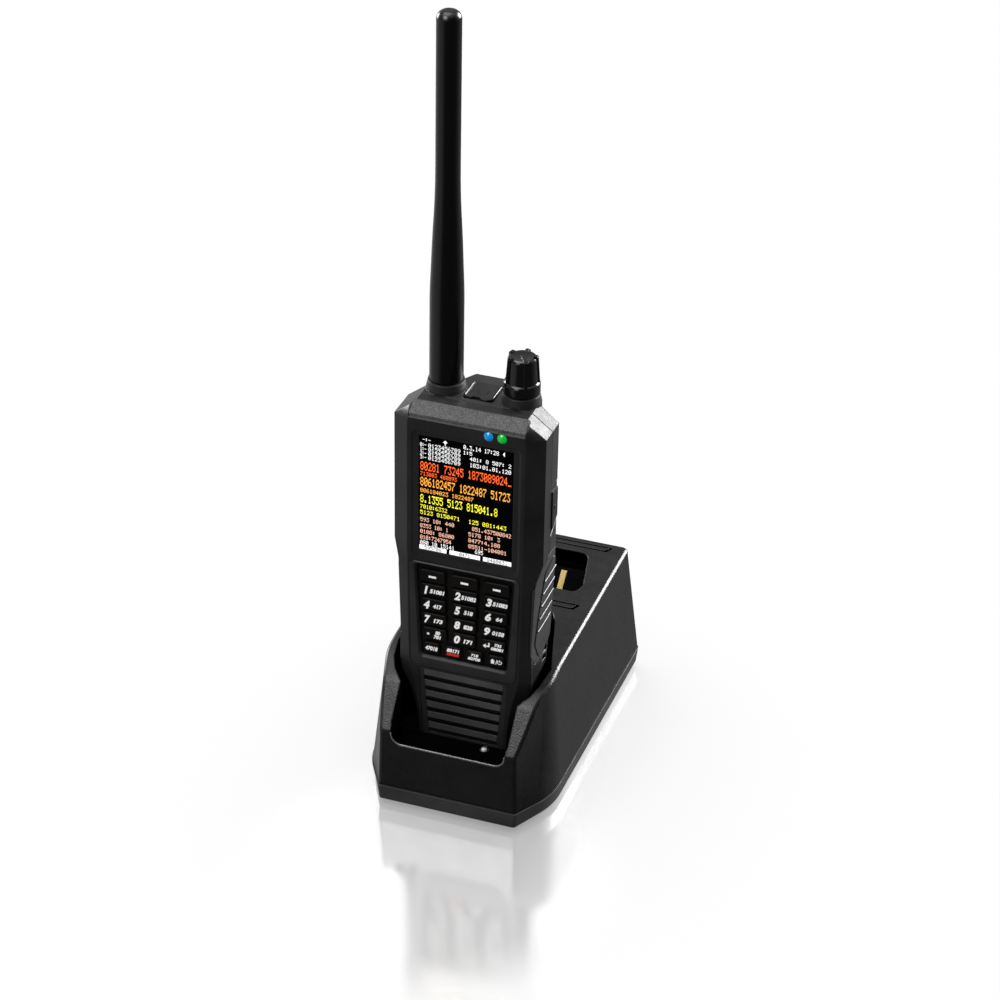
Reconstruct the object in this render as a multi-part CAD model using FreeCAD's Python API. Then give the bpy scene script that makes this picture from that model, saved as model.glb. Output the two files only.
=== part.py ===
import FreeCAD, Part
import math
import os
from FreeCAD import Placement, Rotation, Vector

# Handheld scanner radio standing in a two-bay desktop charging cradle.
# Millimetres.  +X is the radio's left-to-right seen from the front, +Y points to the back,
# +Z is up.  The exported origin is the middle of the footprint at desk level.
#
# Two working frames are used and joined at the end of this file:
#   cradle frame: Y = 0 at the front edge of the cradle, Z = 0 on the desk
#   radio frame:  X = 0 middle, Y = 0 on the front face, Z = 0 at the middle of the display,
#                 tipped back by RADIO_TILT and set down in the front bay

# ---------------------------------------------------------------- driving dimensions
RADIO_TILT = 2.7            # degrees the radio leans back in its bay
RADIO_SEAT_Y = 23.59        # cradle frame position of the radio frame's origin
RADIO_SEAT_Z = 131.29
RADIO_HALF_WIDTH = 29.5
RADIO_TOP = 36.0
RADIO_BOTTOM = -114.0
RADIO_BACK = 24.8
CASE_SEAM = 10.85           # where the front and rear shells meet
SEAM_GAP = 0.2
WALL = 2.0
FRONT_WALL = 2.4

DISPLAY_HALF_WIDTH = 18.3   # lit area of the panel
DISPLAY_HALF_HEIGHT = 24.4
RECESS_DEPTH = 0.35         # of the shallow dish round the display
LED_Z = 29.4
LED_POSITIONS = {"led_blue": 8.6, "led_green": 13.8}
LED_RADIUS = 1.9

SCREW_POSITIONS = [(23.6, 24.0, 20.2), (22.4, -50.0, 18.6)]   # x, z, depth of the head's seat

KEY_PITCH = 6.5
KEY_HEIGHT = 5.2
KEY_TRAVEL = 0.8
KEY_GAP = 0.12              # clearance between a key and its hole
KEY_FLANGE_BACK = 3.1
KEYPAD_TOP = -31.1
KEYPAD_BOTTOM = -71.5

SLAT_PITCH = 4.8
SLAT_COUNT = 6
SLAT_FACE = 3.0
SLAT_GAP = 0.75

KNOB_X = 14.75
TOP_CONTROL_Y = 18.5
KNOB_RADIUS = 6.9
KNOB_BASE = 40.5
KNOB_TOP = 54.8
KNOB_RIBS = 5
POINTER_ANGLE = 32.0        # of the knob's pointer rib, turned from straight ahead to the right
HEADPHONE_X = -0.4
HEADPHONE_Y = 19.5
ANTENNA_X = -14.6
ANTENNA_BASE = 39.9
ANTENNA_TIP = 183.5
ANTENNA_BASE_RADIUS = 6.35
ANTENNA_WHIP_RADIUS = 4.55

PORT_RECESS = [(11.5, -14.5), (19.3, -8.8), (19.3, 6.2), (11.5, 6.2)]

BATTERY_TOP = -36.0
BATTERY_FRONT = 20.0
BATTERY_BACK = 46.5
CELL_BOTTOM = -105.0
CELL_LENGTH = 50.0
TOE_LOW = (BATTERY_BACK - 9.0, RADIO_BOTTOM)     # ends of the battery's bevelled toe in (y, z)
TOE_HIGH = (BATTERY_BACK, RADIO_BOTTOM + 9.0)
TOE_CLEARANCE = 0.6
CONTACT_X = (-11.6, -3.9, 3.9, 11.6)
CONTACT_HALF = 1.15

CRADLE_LENGTH = 121.6
CRADLE_SETBACK = 0.4        # how far the base stands out in front of the housing
CRADLE_HEIGHT = 56.3
BASE_BOTTOM = 2.5
BASE_TOP = 9.0
SHELL = 2.2
WELL_FLOOR = 34.0
RECESS_FLOOR = 27.9
LIP_HEIGHT = 29.2
SHOULDER_RADIUS = 30.0      # where the cradle widens behind its nose
WELL_SLOPE_LOW = (95.0, 38.6)      # ends of the well's contact shelf in (y, z)
WELL_SLOPE_HIGH = (107.4, 49.9)
LED_PLACE = (11.3, 11.8)
JACK_X = 22.0
JACK_Z = 15.2
HOUSING_SCREWS = [(21.5, 9.5), (31.0, 111.0)]
FEET = [(22.0, 20.0), (31.0, 99.0)]
BOARD_POSTS = [(-24.0, 76.0), (24.0, 76.0), (-24.0, 104.0), (12.0, 104.0)]

# height, half-width of the front flat, half-width and depth of the front bevel's outer edge,
# half-width at the rear corner, half-width of the back plane
BODY_STATIONS = [
    (RADIO_TOP, 20.6, 21.5, 3.4, 21.5, 17.0),
    (30.0, 23.0, RADIO_HALF_WIDTH, 4.0, RADIO_HALF_WIDTH, 21.0),
    (-23.5, 23.0, RADIO_HALF_WIDTH, 4.0, RADIO_HALF_WIDTH, 21.0),
    (-31.0, 22.8, 27.3, 2.2, 29.1, 21.0),
    (-60.0, 22.6, 26.3, 2.0, 28.0, 21.0),
    (-76.0, 22.0, 26.6, 2.2, 26.8, 20.6),
    (-81.0, 21.0, 25.9, 2.6, 25.9, 20.0),
    (-87.0, 19.6, 23.2, 2.6, 23.3, 18.6),
    (-93.0, 18.6, 21.1, 2.4, 21.3, 17.4),
    (-100.0, 18.0, 19.4, 2.2, 19.8, 16.6),
    (RADIO_BOTTOM, 17.4, 18.4, 2.0, 18.9, 16.0),
]
REAR_CORNER = 18.2


# ---------------------------------------------------------------- shape helpers
def box(x0, x1, y0, y1, z0, z1):
    return Part.makeBox(x1 - x0, y1 - y0, z1 - z0, Vector(x0, y0, z0))


def cylinder(base, direction, radius, length):
    return Part.makeCylinder(radius, length, Vector(*base), Vector(*direction))


def face_of(points, radii=0.0):
    """Closed face through 3-D points, its corners rounded to one radius or to one each."""
    corners = [Vector(*point) for point in points]
    if not radii:
        return Part.Face(Part.makePolygon(corners + corners[:1]))
    if not isinstance(radii, list):
        radii = [radii] * len(corners)
    edges = []
    starts, ends = [], []
    for index, corner in enumerate(corners):
        before = (corners[index - 1] - corner).normalize()
        after = (corners[(index + 1) % len(corners)] - corner).normalize()
        half_angle = before.getAngle(after) / 2
        radius = radii[index]
        reach = radius / math.tan(half_angle)
        first = corner + before * reach
        last = corner + after * reach
        bisector = (before + after).normalize()
        middle = corner + bisector * (radius / math.sin(half_angle) - radius)
        edges.append(Part.Arc(first, middle, last).toShape())
        starts.append(first)
        ends.append(last)
    wire_edges = []
    for index, arc in enumerate(edges):
        following = starts[(index + 1) % len(edges)]
        wire_edges.append(arc)
        if ends[index].distanceToPoint(following) > 1e-6:
            wire_edges.append(Part.LineSegment(ends[index], following).toShape())
    return Part.Face(Part.Wire(wire_edges))


def prism_x(points, x0, x1, radii=0.0):
    return face_of([(x0, y, z) for y, z in points], radii).extrude(Vector(x1 - x0, 0, 0))


def prism_y(points, y0, y1, radii=0.0):
    return face_of([(x, y0, z) for x, z in points], radii).extrude(Vector(0, y1 - y0, 0))


def prism_z(points, z0, z1, radii=0.0):
    return face_of([(x, y, z0) for x, y in points], radii).extrude(Vector(0, 0, z1 - z0))


def mirrored(points):
    """Close an outline of right-hand points, listed front to back, with their left-hand images."""
    return points + [(-x, other) for x, other in reversed(points)]


def trapezoid(half_top, half_bottom, z_top, z_bottom):
    return [(half_bottom, z_bottom), (half_top, z_top), (-half_top, z_top), (-half_bottom, z_bottom)]


def revolve(profile, x, y):
    """Turn a closed (radius, z) profile about the vertical line through x, y."""
    face = face_of([(x + radius, y, z) for radius, z in profile])
    return face.revolve(Vector(x, y, 0), Vector(0, 0, 1), 360)


def fuse(shapes):
    return shapes[0].multiFuse(shapes[1:]).removeSplitter()


def both_sides(shape):
    return [shape, shape.mirror(Vector(0, 0, 0), Vector(1, 0, 0))]


# ---------------------------------------------------------------- radio body
def body_section(station, inset):
    z, front, bevel, depth, corner, back = station
    y_front = inset if inset < WALL else FRONT_WALL
    outline = mirrored([
        (front - 0.7 * inset, y_front),
        (bevel - inset, depth + 0.6 * inset),
        (corner - inset, REAR_CORNER - 0.4 * inset),
        (back - 0.6 * inset, RADIO_BACK - inset),
    ])
    corners = [Vector(x, y, z) for x, y in outline]
    return Part.makePolygon(corners + corners[:1])


def body_loft(inset):
    """The radio's body as one solid, with its walls moved in by inset."""
    stations = list(BODY_STATIONS)
    top, bottom = stations[0], stations[-1]
    if inset:
        spread = 1.3 * inset
        stations[0] = (top[0] - inset, top[1] + spread, top[2] + spread, top[3], top[4] + spread,
                       top[5] + 0.6 * inset)
        stations[-1] = (bottom[0] + inset,) + bottom[1:]
    return Part.makeLoft([body_section(station, inset) for station in stations], True, True)


def hump():
    """Spine on the back that carries the top plane backwards and ends in a slope."""
    plan = mirrored([(11.8, RADIO_BACK - 1.0), (11.8, RADIO_BACK), (7.7, 32.0)])
    block = prism_z(plan, -22.0, RADIO_TOP)
    slope = prism_x([(RADIO_BACK, -22.5), (32.5, -13.0), (32.5, -23.0)], -13, 13)
    return block.cut(slope)


def top_band_profile():
    """Slope between the front face and the top plane, in (y, z)."""
    return (0.6, 32.9), (5.5, RADIO_TOP)


def band_cut(depth):
    low, high = top_band_profile()
    run = Vector(0, high[0] - low[0], high[1] - low[1]).normalize()
    y_low, z_low = low[0] - 3 * run.y + depth * run.z, low[1] - 3 * run.z - depth * run.y
    y_high, z_high = high[0] + depth * run.z, high[1] - depth * run.y
    return [(y_low, z_low), (y_high, z_high), (y_high, 45.0), (y_low, 45.0)]


def keypad_outline(grow=0.0):
    return trapezoid(19.5 + grow, 17.2 + grow, KEYPAD_TOP + grow, KEYPAD_BOTTOM - grow)


def frame_outline(grow=0.0):
    return trapezoid(22.1 + grow, 21.2 + grow, -29.7 + grow, -76.0 - grow)


def grille_outline(grow=0.0):
    return trapezoid(17.8 + grow, 16.4 + grow, -76.9 + grow, -107.5 - grow)


def grip_region():
    """Outline of a side grip in (y, z)."""
    return [(1.7, -34.0), (5.0, -26.0), (10.0, -22.6), (19.4, -22.6), (19.4, -63.0),
            (12.5, -68.5), (5.5, -69.5), (1.7, -64.0)]


def grip_panel():
    """Raised inner field of a side grip in (y, z)."""
    return [(10.6, -30.0), (19.0, -25.0), (19.0, -62.4), (12.2, -67.4), (9.0, -67.8), (4.9, -60.0),
            (6.4, -49.0)]


def display_recess():
    high = face_of([(x, 0, z) for x, z in trapezoid(21.4, 21.4, 26.4, -28.8)], 2.6)
    low = face_of([(x, RECESS_DEPTH, z) for x, z in trapezoid(20.6, 20.6, 25.8, -26.8)], 2.0)
    return Part.makeLoft([high.OuterWire, low.OuterWire], True, True)


def front_case():
    shell = body_loft(0).common(box(-40, 40, -1, CASE_SEAM, -130, 50))
    shell = shell.cut(prism_x(band_cut(0.0), -40, 40))
    shell = shell.cut(prism_x(band_cut(1.0), -22.6, 22.6))
    hollow = body_loft(WALL).common(box(-40, 40, 0, CASE_SEAM + 1, -130, 32.6))
    hollow = hollow.cut(prism_x(band_cut(2.2), -40, 40))
    bosses = []
    for x, z, _seat in SCREW_POSITIONS:
        for side in (-1, 1):
            column = cylinder((side * x, 2.2, z), (0, 1, 0), 2.5, 14.6)
            bosses.append(column.cut(cylinder((side * x, 7.0, z), (0, 1, 0), 1.05, 12)))
    shell = shell.cut(hollow)
    inside = body_loft(0.3)
    shell = fuse([shell] + [boss.common(inside) for boss in bosses])
    for x, z, _seat in SCREW_POSITIONS:
        for side in (-1, 1):
            shell = shell.cut(cylinder((side * x, 7.0, z), (0, 1, 0), 1.05, 12))
    shell = shell.cut(display_recess())
    shell = shell.cut(box(-DISPLAY_HALF_WIDTH - 0.15, DISPLAY_HALF_WIDTH + 0.15, -1, 3,
                          -DISPLAY_HALF_HEIGHT - 0.15, DISPLAY_HALF_HEIGHT + 0.15))
    shell = shell.cut(box(-20.3, 20.3, 1.3, 3, -26.2, 26.2))
    for x in LED_POSITIONS.values():
        shell = shell.cut(cylinder((x, -1, LED_Z), (0, 1, 0), LED_RADIUS + 0.05, 4))
    shell = shell.cut(prism_y(frame_outline(0.05), -0.5, 1.5, 2.5))
    shell = shell.cut(prism_y(keypad_outline(1.0), 1.0, 3.0, 1.5))
    shell = shell.cut(prism_y(grille_outline(0.05), -0.5, 1.2, 1.2))
    shell = shell.cut(prism_y(grille_outline(-1.2), 0.5, 3.0, 0.8))
    return shell.cut(grip_pockets()).cut(case_seal())


def rear_case():
    shell = body_loft(0).fuse(hump()).common(box(-40, 40, CASE_SEAM + SEAM_GAP, 60, -130, 50))
    hollow = body_loft(WALL).common(box(-40, 40, CASE_SEAM - 1, 60, -130, 50))
    battery_bay = box(-40, 40, BATTERY_FRONT - 0.2, 60, -130, BATTERY_TOP + 0.2)
    behind_battery = box(-40, 40, BATTERY_FRONT - 0.2 - WALL, 60, -130, BATTERY_TOP + 0.2 + WALL)
    shell = shell.cut(hollow.cut(behind_battery)).cut(battery_bay)
    collar_plan = [(-40, CASE_SEAM + SEAM_GAP), (40, CASE_SEAM + SEAM_GAP), (40, 60), (-40, 60)]
    collars = []
    for x in (ANTENNA_X, KNOB_X):
        collars.append(revolve([(0, 34), (7.6, 34), (7.6, 36.3), (6.9, 39.6), (0, 39.6)], x, TOP_CONTROL_Y))
    collars = [collar.common(prism_z(collar_plan, 30, 45)) for collar in collars]
    shell = fuse([shell] + collars)
    bosses = []
    for x, z, seat in SCREW_POSITIONS:
        for side in (-1, 1):
            bosses.append(cylinder((side * x, 16.9, z), (0, 1, 0), 3.4, 8).common(body_loft(0)))
    shell = fuse([shell] + bosses).cut(battery_bay)
    for x, z, seat in SCREW_POSITIONS:
        for side in (-1, 1):
            shell = shell.cut(cylinder((side * x, 12, z), (0, 1, 0), 1.3, 20))
            shell = shell.cut(cylinder((side * x, seat, z), (0, 1, 0), 2.4, 20))
    shell = shell.cut(cylinder((ANTENNA_X, TOP_CONTROL_Y, 30), (0, 0, 1), 4.2, 12))
    shell = shell.cut(cylinder((KNOB_X, TOP_CONTROL_Y, 30), (0, 0, 1), 4.4, 12))
    shell = shell.cut(prism_z([(-6.3, 13.0), (5.5, 13.0), (5.5, 26.3), (-6.3, 26.3)], 35.2, 40, 0.6))
    shell = shell.cut(cylinder((HEADPHONE_X, HEADPHONE_Y, 30), (0, 0, 1), 3.3, 8))
    shell = shell.cut(prism_x(PORT_RECESS, 28.1, 32, 0.5))
    shell = shell.cut(box(24, 30, 12.6, 17.4, -10.2, -0.8))
    shell = shell.cut(box(-8.2, 8.2, RADIO_BACK - 1.2, 30, -36.5, -25.0))
    shell = shell.cut(lanyard_slot())
    return shell.cut(grip_pockets())


def lanyard_slot():
    """Eyelet for a hand strap low on the right side: a slot crossed by a bar of the case."""
    slot = box(24.6, 32, 13.6, 17.4, -73.0, -66.0)
    bar = cylinder((26.6, 13.0, -69.8), (0, 1, 0), 0.8, 5)
    return slot.cut(bar)


def grip_skin(points, proud, sunk):
    region = prism_x(points, 20, 40, 2.2)
    shell = body_loft(-proud).cut(body_loft(sunk))
    return shell.common(region)


def grip_pockets():
    pocket = grip_skin(grip_region(), 1.0, 0.85)
    return fuse(both_sides(pocket))


def side_grips():
    inner = [(y + (0.15 if y < 10 else -0.15), z + (0.15 if z < -40 else -0.15)) for y, z in grip_region()]
    base = grip_skin(inner, 0.05, 0.8)
    panel = grip_skin(grip_panel(), 0.35, 0.3)
    ribs = []
    for index in range(5):
        z_back = -31.6 - 5.1 * index
        y_back = 18.6 - 0.55 * index
        y_front = 9.4 - 0.85 * index
        drop = 0.28 * (y_back - y_front)
        outline = [(y_front, z_back - drop), (y_back, z_back), (y_back, z_back + 0.55),
                   (y_front, z_back - drop + 0.55)]
        rib = prism_x(outline, 20, 40)
        ribs.append(body_loft(-0.7).cut(body_loft(0.3)).common(rib))
    return base.multiFuse([panel] + ribs).removeSplitter()


def case_seal():
    ring = body_loft(0.8).cut(body_loft(1.4))
    return ring.common(box(-40, 40, CASE_SEAM - 0.6, CASE_SEAM + 0.04, -130, 50))


def top_band():
    above = prism_x(band_cut(0.0), -23, 23)
    strip = box(-22.5, 22.5, 0.6, 6.0, 30, RADIO_TOP).common(prism_x(band_cut(0.97), -23, 23))
    return strip.cut(above)


def display_window():
    width, height = DISPLAY_HALF_WIDTH + 0.1, DISPLAY_HALF_HEIGHT + 0.1
    pane = box(-width, width, RECESS_DEPTH + 0.05, 1.4, -height, height)
    return fuse([pane, box(-20.2, 20.2, 1.35, 1.75, -26.1, 26.1)])


def lcd_panel():
    return box(-20.0, 20.0, 1.85, 4.6, -26.0, 26.0)


def led_lens(x):
    body = cylinder((x, 0.2, LED_Z), (0, 1, 0), LED_RADIUS, 4.6)
    dome = Part.makeSphere(2.3, Vector(x, 1.35, LED_Z))
    dome = dome.common(cylinder((x, -2.0, LED_Z), (0, 1, 0), LED_RADIUS, 3.0))
    return fuse([body, dome])


# ---------------------------------------------------------------- keypad
def keypad_frame():
    ring = prism_y(frame_outline(), -0.35, 1.45, 2.5)
    wide = face_of([(x, -0.36, z) for x, z in keypad_outline(0.75)], 1.9)
    narrow = face_of([(x, 0.8, z) for x, z in keypad_outline()], 1.2)
    flare = Part.makeLoft([wide.OuterWire, narrow.OuterWire], True, True)
    ring = ring.cut(flare).cut(prism_y(keypad_outline(), 0.5, 2.0, 1.2))
    front_edges = [edge for edge in ring.Edges
                   if abs(edge.BoundBox.YMin + 0.35) < 1e-4 and abs(edge.BoundBox.YMax + 0.35) < 1e-4]
    outer_edges = [edge for edge in front_edges
                   if max(abs(edge.BoundBox.XMin), abs(edge.BoundBox.XMax)) > 20.6
                   or edge.BoundBox.ZMin > -30.3 or edge.BoundBox.ZMax < -75.0]
    return ring.makeChamfer(0.3, outer_edges)


def key_places():
    """Name, centre x, top z and half-width of each of the nineteen keys."""
    places = []
    rows = [["soft_left", "soft_middle", "soft_right"], ["1", "2", "3"], ["4", "5", "6"],
            ["7", "8", "9"], ["point", "0", "enter"]]
    for row, names in enumerate(rows):
        top = -33.1 - KEY_PITCH * row
        if row:
            top += 0.35
        outer = 17.9 - 0.32 * row
        inner = 7.75 - 0.18 * row
        half_middle = 5.35 - 0.19 * row
        side_centre = (outer + inner) / 2
        side_half = (outer - inner) / 2
        places.append((names[0], -side_centre, top, side_half))
        places.append((names[1], 0.0, top, half_middle))
        places.append((names[2], side_centre, top, side_half))
    for name, x in zip(["avoid", "record", "menu", "power"], [-13.05, -4.3, 4.3, 13.05]):
        places.append((name, x, -65.45, 3.22))
    return places


def key_solid(x, top, half, height):
    outline = [(x + half, top - height), (x + half, top), (x - half, top), (x - half, top - height)]
    face = prism_y(outline, 0.15, 2.6, 0.9)
    front = [edge for edge in face.Edges if edge.BoundBox.YMax < 0.16]
    face = face.makeChamfer(0.3, front)
    flange = prism_y([(x + half + 0.4, top - height - 0.4), (x + half + 0.4, top + 0.4),
                      (x - half - 0.4, top + 0.4), (x - half - 0.4, top - height - 0.4)],
                     2.5, KEY_FLANGE_BACK, 0.9)
    return fuse([face, flange])


def key_height(name):
    return 4.75 if name in ("avoid", "record", "menu", "power") else KEY_HEIGHT


def keypad_plate():
    plate = prism_y(keypad_outline(0.9), 1.5, 2.35, 1.4)
    for name, x, top, half in key_places():
        grown = half + KEY_GAP
        bottom = top - key_height(name) - KEY_GAP
        hole = [(x + grown, bottom), (x + grown, top + KEY_GAP), (x - grown, top + KEY_GAP), (x - grown, bottom)]
        plate = plate.cut(prism_y(hole, 1, 3, 0.9))
    return plate


def keypad_mat():
    sheet = box(-19.6, 19.6, 4.7, 5.4, -72.5, -30.5)
    tip = KEY_FLANGE_BACK + KEY_TRAVEL + 0.05
    domes = []
    for name, x, top, _half in key_places():
        centre = top - key_height(name) / 2
        domes.append(Part.makeCone(1.4, 2.4, 4.75 - tip, Vector(x, tip, centre), Vector(0, 1, 0)))
    return fuse([sheet] + domes)


# ---------------------------------------------------------------- speaker
def speaker_grille():
    plate = prism_y(grille_outline(), 0.1, 1.15, 1.2)
    slats = []
    for index in range(SLAT_COUNT):
        top = -77.75 - SLAT_PITCH * index
        bottom = top - SLAT_PITCH + SLAT_GAP
        half = 16.0 - 0.4 * index
        plate = plate.cut(box(-half, half, -1, 3, bottom - SLAT_GAP, top))
        profile = [(0.1, top), (0.1, top - SLAT_FACE), (0.45, top - SLAT_FACE), (0.6, bottom), (1.9, bottom),
                   (1.9, top - 0.5), (1.1, top)]
        slats.append(prism_x(profile, -half - 0.3, half + 0.3))
    back = prism_y(grille_outline(-1.3), 1.1, 1.9, 0.8)
    for index in range(SLAT_COUNT):
        top = -77.75 - SLAT_PITCH * index
        bottom = top - SLAT_PITCH
        half = 16.0 - 0.4 * index
        back = back.cut(box(-half, half, 0, 3, bottom - 0.001, top + 0.001))
    slats = [slat.common(prism_y(grille_outline(-1.3), 0, 2, 0.8)) for slat in slats]
    return fuse([plate, back] + slats)


def speaker():
    centre = (0, 2.7, -91.0)
    rim = cylinder(centre, (0, 1, 0), 13.5, 1.4).cut(cylinder(centre, (0, 1, 0), 12.0, 1.0))
    basket = Part.makeCone(13.0, 7.5, 3.0, Vector(0, 4.1, -91.0), Vector(0, 1, 0))
    magnet = cylinder((0, 7.1, -91.0), (0, 1, 0), 7.5, 3.2)
    return fuse([rim, basket, magnet])


# ---------------------------------------------------------------- radio electronics
def main_board():
    board = box(-19.6, 19.6, 5.6, 7.1, -72.0, 31.0)
    cans = [box(-17, -2, 7.0, 9.6, 2, 28), box(1, 17, 7.0, 9.6, 2, 28), box(-15, 15, 7.0, 9.2, -28, -4),
            box(-12, -2, 7.0, 8.4, -60, -40), box(3, 13, 7.0, 8.4, -60, -40)]
    return fuse([board] + cans)


def encoder():
    x, y = KNOB_X, TOP_CONTROL_Y
    body = box(x - 5.8, x + 3.9, y - 5.8, y + 2.4, 22.0, 32.4)
    bush = cylinder((x, y, 31.0), (0, 0, 1), 4.2, 8.5)
    bore = cylinder((x, y, 24.5), (0, 0, 1), 3.06, 20)
    return fuse([body, bush]).cut(bore)


def encoder_plunger():
    return cylinder((KNOB_X, TOP_CONTROL_Y, 25.4), (0, 0, 1), 2.98, 1.4)


def encoder_shaft():
    return cylinder((KNOB_X, TOP_CONTROL_Y, 26.85), (0, 0, 1), 3.0, 23.5)


def knob():
    profile = [(0, KNOB_BASE), (KNOB_RADIUS, KNOB_BASE), (KNOB_RADIUS, 43.7), (6.6, 44.35), (6.1, 44.75),
               (5.45, KNOB_TOP - 1.2), (5.1, KNOB_TOP - 0.5), (4.3, KNOB_TOP - 0.2), (2.0, KNOB_TOP - 0.5),
               (0, KNOB_TOP - 0.5)]
    body = revolve(profile, KNOB_X, TOP_CONTROL_Y)
    guard = revolve([(0, 44.0), (6.65, 44.0), (5.95, KNOB_TOP - 0.4), (5.4, KNOB_TOP + 0.2), (0, KNOB_TOP + 0.2)],
                    KNOB_X, TOP_CONTROL_Y)
    axis = Vector(KNOB_X, TOP_CONTROL_Y, 0)
    ribs = []
    for index in range(KNOB_RIBS):
        reach = -0.4 if index == 0 else -3.9
        rib = box(KNOB_X - 0.75, KNOB_X + 0.75, TOP_CONTROL_Y - 8.0, TOP_CONTROL_Y + reach, 44.0, KNOB_TOP + 1)
        rib.rotate(axis, Vector(0, 0, 1), POINTER_ANGLE + 360 * index / KNOB_RIBS)
        ribs.append(rib.common(guard))
    body = fuse([body] + ribs)
    return body.cut(cylinder((KNOB_X, TOP_CONTROL_Y, 38), (0, 0, 1), 3.0, 12.4))


def antenna_jack():
    x, y = ANTENNA_X, TOP_CONTROL_Y
    flange = cylinder((x, y, 30.5), (0, 0, 1), 4.1, 3.3)
    stud = cylinder((x, y, 33.7), (0, 0, 1), 3.1, 12.3)
    bore = cylinder((x, y, 39.0), (0, 0, 1), 2.2, 8)
    return fuse([flange, stud]).cut(bore)


def antenna_connector():
    x, y = ANTENNA_X, TOP_CONTROL_Y
    nut = cylinder((x, y, 40.2), (0, 0, 1), 5.0, 9.0)
    nut = nut.cut(cylinder((x, y, 40.0), (0, 0, 1), 3.17, 6.6))
    pin = cylinder((x, y, 41.0), (0, 0, 1), 0.6, 6)
    return fuse([nut, pin])


def antenna():
    x, y = ANTENNA_X, TOP_CONTROL_Y
    base, whip = ANTENNA_BASE_RADIUS, ANTENNA_WHIP_RADIUS
    points = [Vector(x + base, y, 72.0), Vector(x + base - 0.35, y, 84.0), Vector(x + 5.5, y, 97.0),
              Vector(x + whip + 0.25, y, 111.0), Vector(x + whip, y, 124.0)]
    flare = Part.BSplineCurve()
    flare.interpolate(Points=points, InitialTangent=Vector(0, 0, 1), FinalTangent=Vector(0, 0, 1))
    round_start = Vector(x + whip, y, ANTENNA_TIP - 3.0)
    round_middle = Vector(x + whip * 0.80, y, ANTENNA_TIP - 0.95)
    edges = [
        Part.makeLine(Vector(x, y, 49.3), Vector(x + 5.05, y, 49.3)),
        Part.makeLine(Vector(x + 5.05, y, 49.3), Vector(x + 5.05, y, ANTENNA_BASE)),
        Part.makeLine(Vector(x + 5.05, y, ANTENNA_BASE), Vector(x + base - 0.4, y, ANTENNA_BASE)),
        Part.makeLine(Vector(x + base - 0.4, y, ANTENNA_BASE), Vector(x + base, y, ANTENNA_BASE + 0.4)),
        Part.makeLine(Vector(x + base, y, ANTENNA_BASE + 0.4), points[0]),
        flare.toShape(),
        Part.makeLine(points[-1], round_start),
        Part.Arc(round_start, round_middle, Vector(x + whip * 0.35, y, ANTENNA_TIP)).toShape(),
        Part.makeLine(Vector(x + whip * 0.35, y, ANTENNA_TIP), Vector(x, y, ANTENNA_TIP)),
        Part.makeLine(Vector(x, y, ANTENNA_TIP), Vector(x, y, 49.3)),
    ]
    return Part.Face(Part.Wire(edges)).revolve(Vector(x, y, 0), Vector(0, 0, 1), 360)


def headphone_jack():
    barrel = cylinder((HEADPHONE_X, HEADPHONE_Y, 21.0), (0, 0, 1), 3.2, 14.1)
    return barrel.cut(cylinder((HEADPHONE_X, HEADPHONE_Y, 22.0), (0, 0, 1), 1.8, 14))


def headphone_flap():
    outline = [(-6.0, 14.3), (-3.3, 14.0), (-2.6, 15.0), (-0.4, 15.0), (0.8, 13.6), (2.4, 13.3), (5.2, 15.2),
               (5.2, 26.0), (-6.0, 26.0)]
    flap = prism_z(outline, 35.45, 36.3)
    rails = [box(-6.0, -5.5, 14.6, 24.5, 36.2, 36.7), box(4.7, 5.2, 15.4, 24.5, 36.2, 36.7)]
    return fuse([flap] + rails)


def port_cover():
    outline = [(11.8, -13.7), (18.3, -9.0), (18.3, 5.7), (11.8, 5.7)]
    cover = prism_x(outline, 28.35, 29.3, 0.5)
    pad = prism_x([(12.1, -12.9), (17.9, -8.7), (17.9, 3.6), (12.1, 3.6)], 29.2, 29.95, 0.5)
    boss = cylinder((29.8, 14.6, -3.6), (1, 0, 0), 0.8, 0.35)
    return fuse([cover, pad, boss])


def usb_socket():
    shell = box(21.5, 27.8, 12.8, 17.2, -10.0, -1.0)
    return shell.cut(box(23.0, 29, 13.5, 16.5, -9.3, -1.7))


def case_screws():
    screws = []
    for x, z, seat in SCREW_POSITIONS:
        for side in (-1, 1):
            head = cylinder((side * x, seat, z), (0, 1, 0), 2.2, 1.3)
            head = head.cut(box(side * x - 1.2, side * x + 1.2, seat + 0.7, seat + 2, z - 0.3, z + 0.3))
            shank = cylinder((side * x, 8.5, z), (0, 1, 0), 1.0, seat - 8.5)
            screws.append(fuse([head, shank]))
    return Part.makeCompound(screws)


# ---------------------------------------------------------------- battery
def battery_plan(inset=0.0):
    return mirrored([(20.2 - inset, BATTERY_FRONT), (24.2 - inset, 23.4), (24.2 - inset, 27.0),
                     (20.7 - inset, 42.8 - 0.5 * inset), (16.8 - 0.6 * inset, BATTERY_BACK - inset)])


def battery_body(inset=0.0):
    block = prism_z(battery_plan(inset), RADIO_BOTTOM + inset, BATTERY_TOP - inset)
    shoulder = [(32.0 - inset, BATTERY_TOP + 0.1), (60, BATTERY_TOP + 0.1), (60, -70),
                (BATTERY_BACK - inset, -50.0 - inset)]
    block = block.cut(prism_x(shoulder, -40, 40))
    low_y, high_y = TOE_LOW[0] - 1 - inset, TOE_HIGH[0] + 1 - inset
    low_z, high_z = TOE_LOW[1] - 1 + 0.4 * inset, TOE_HIGH[1] + 1 + 0.4 * inset
    toe = [(low_y, low_z), (high_y, high_z), (60, high_z), (60, -130), (low_y, -130)]
    return block.cut(prism_x(toe, -40, 40))


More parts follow.
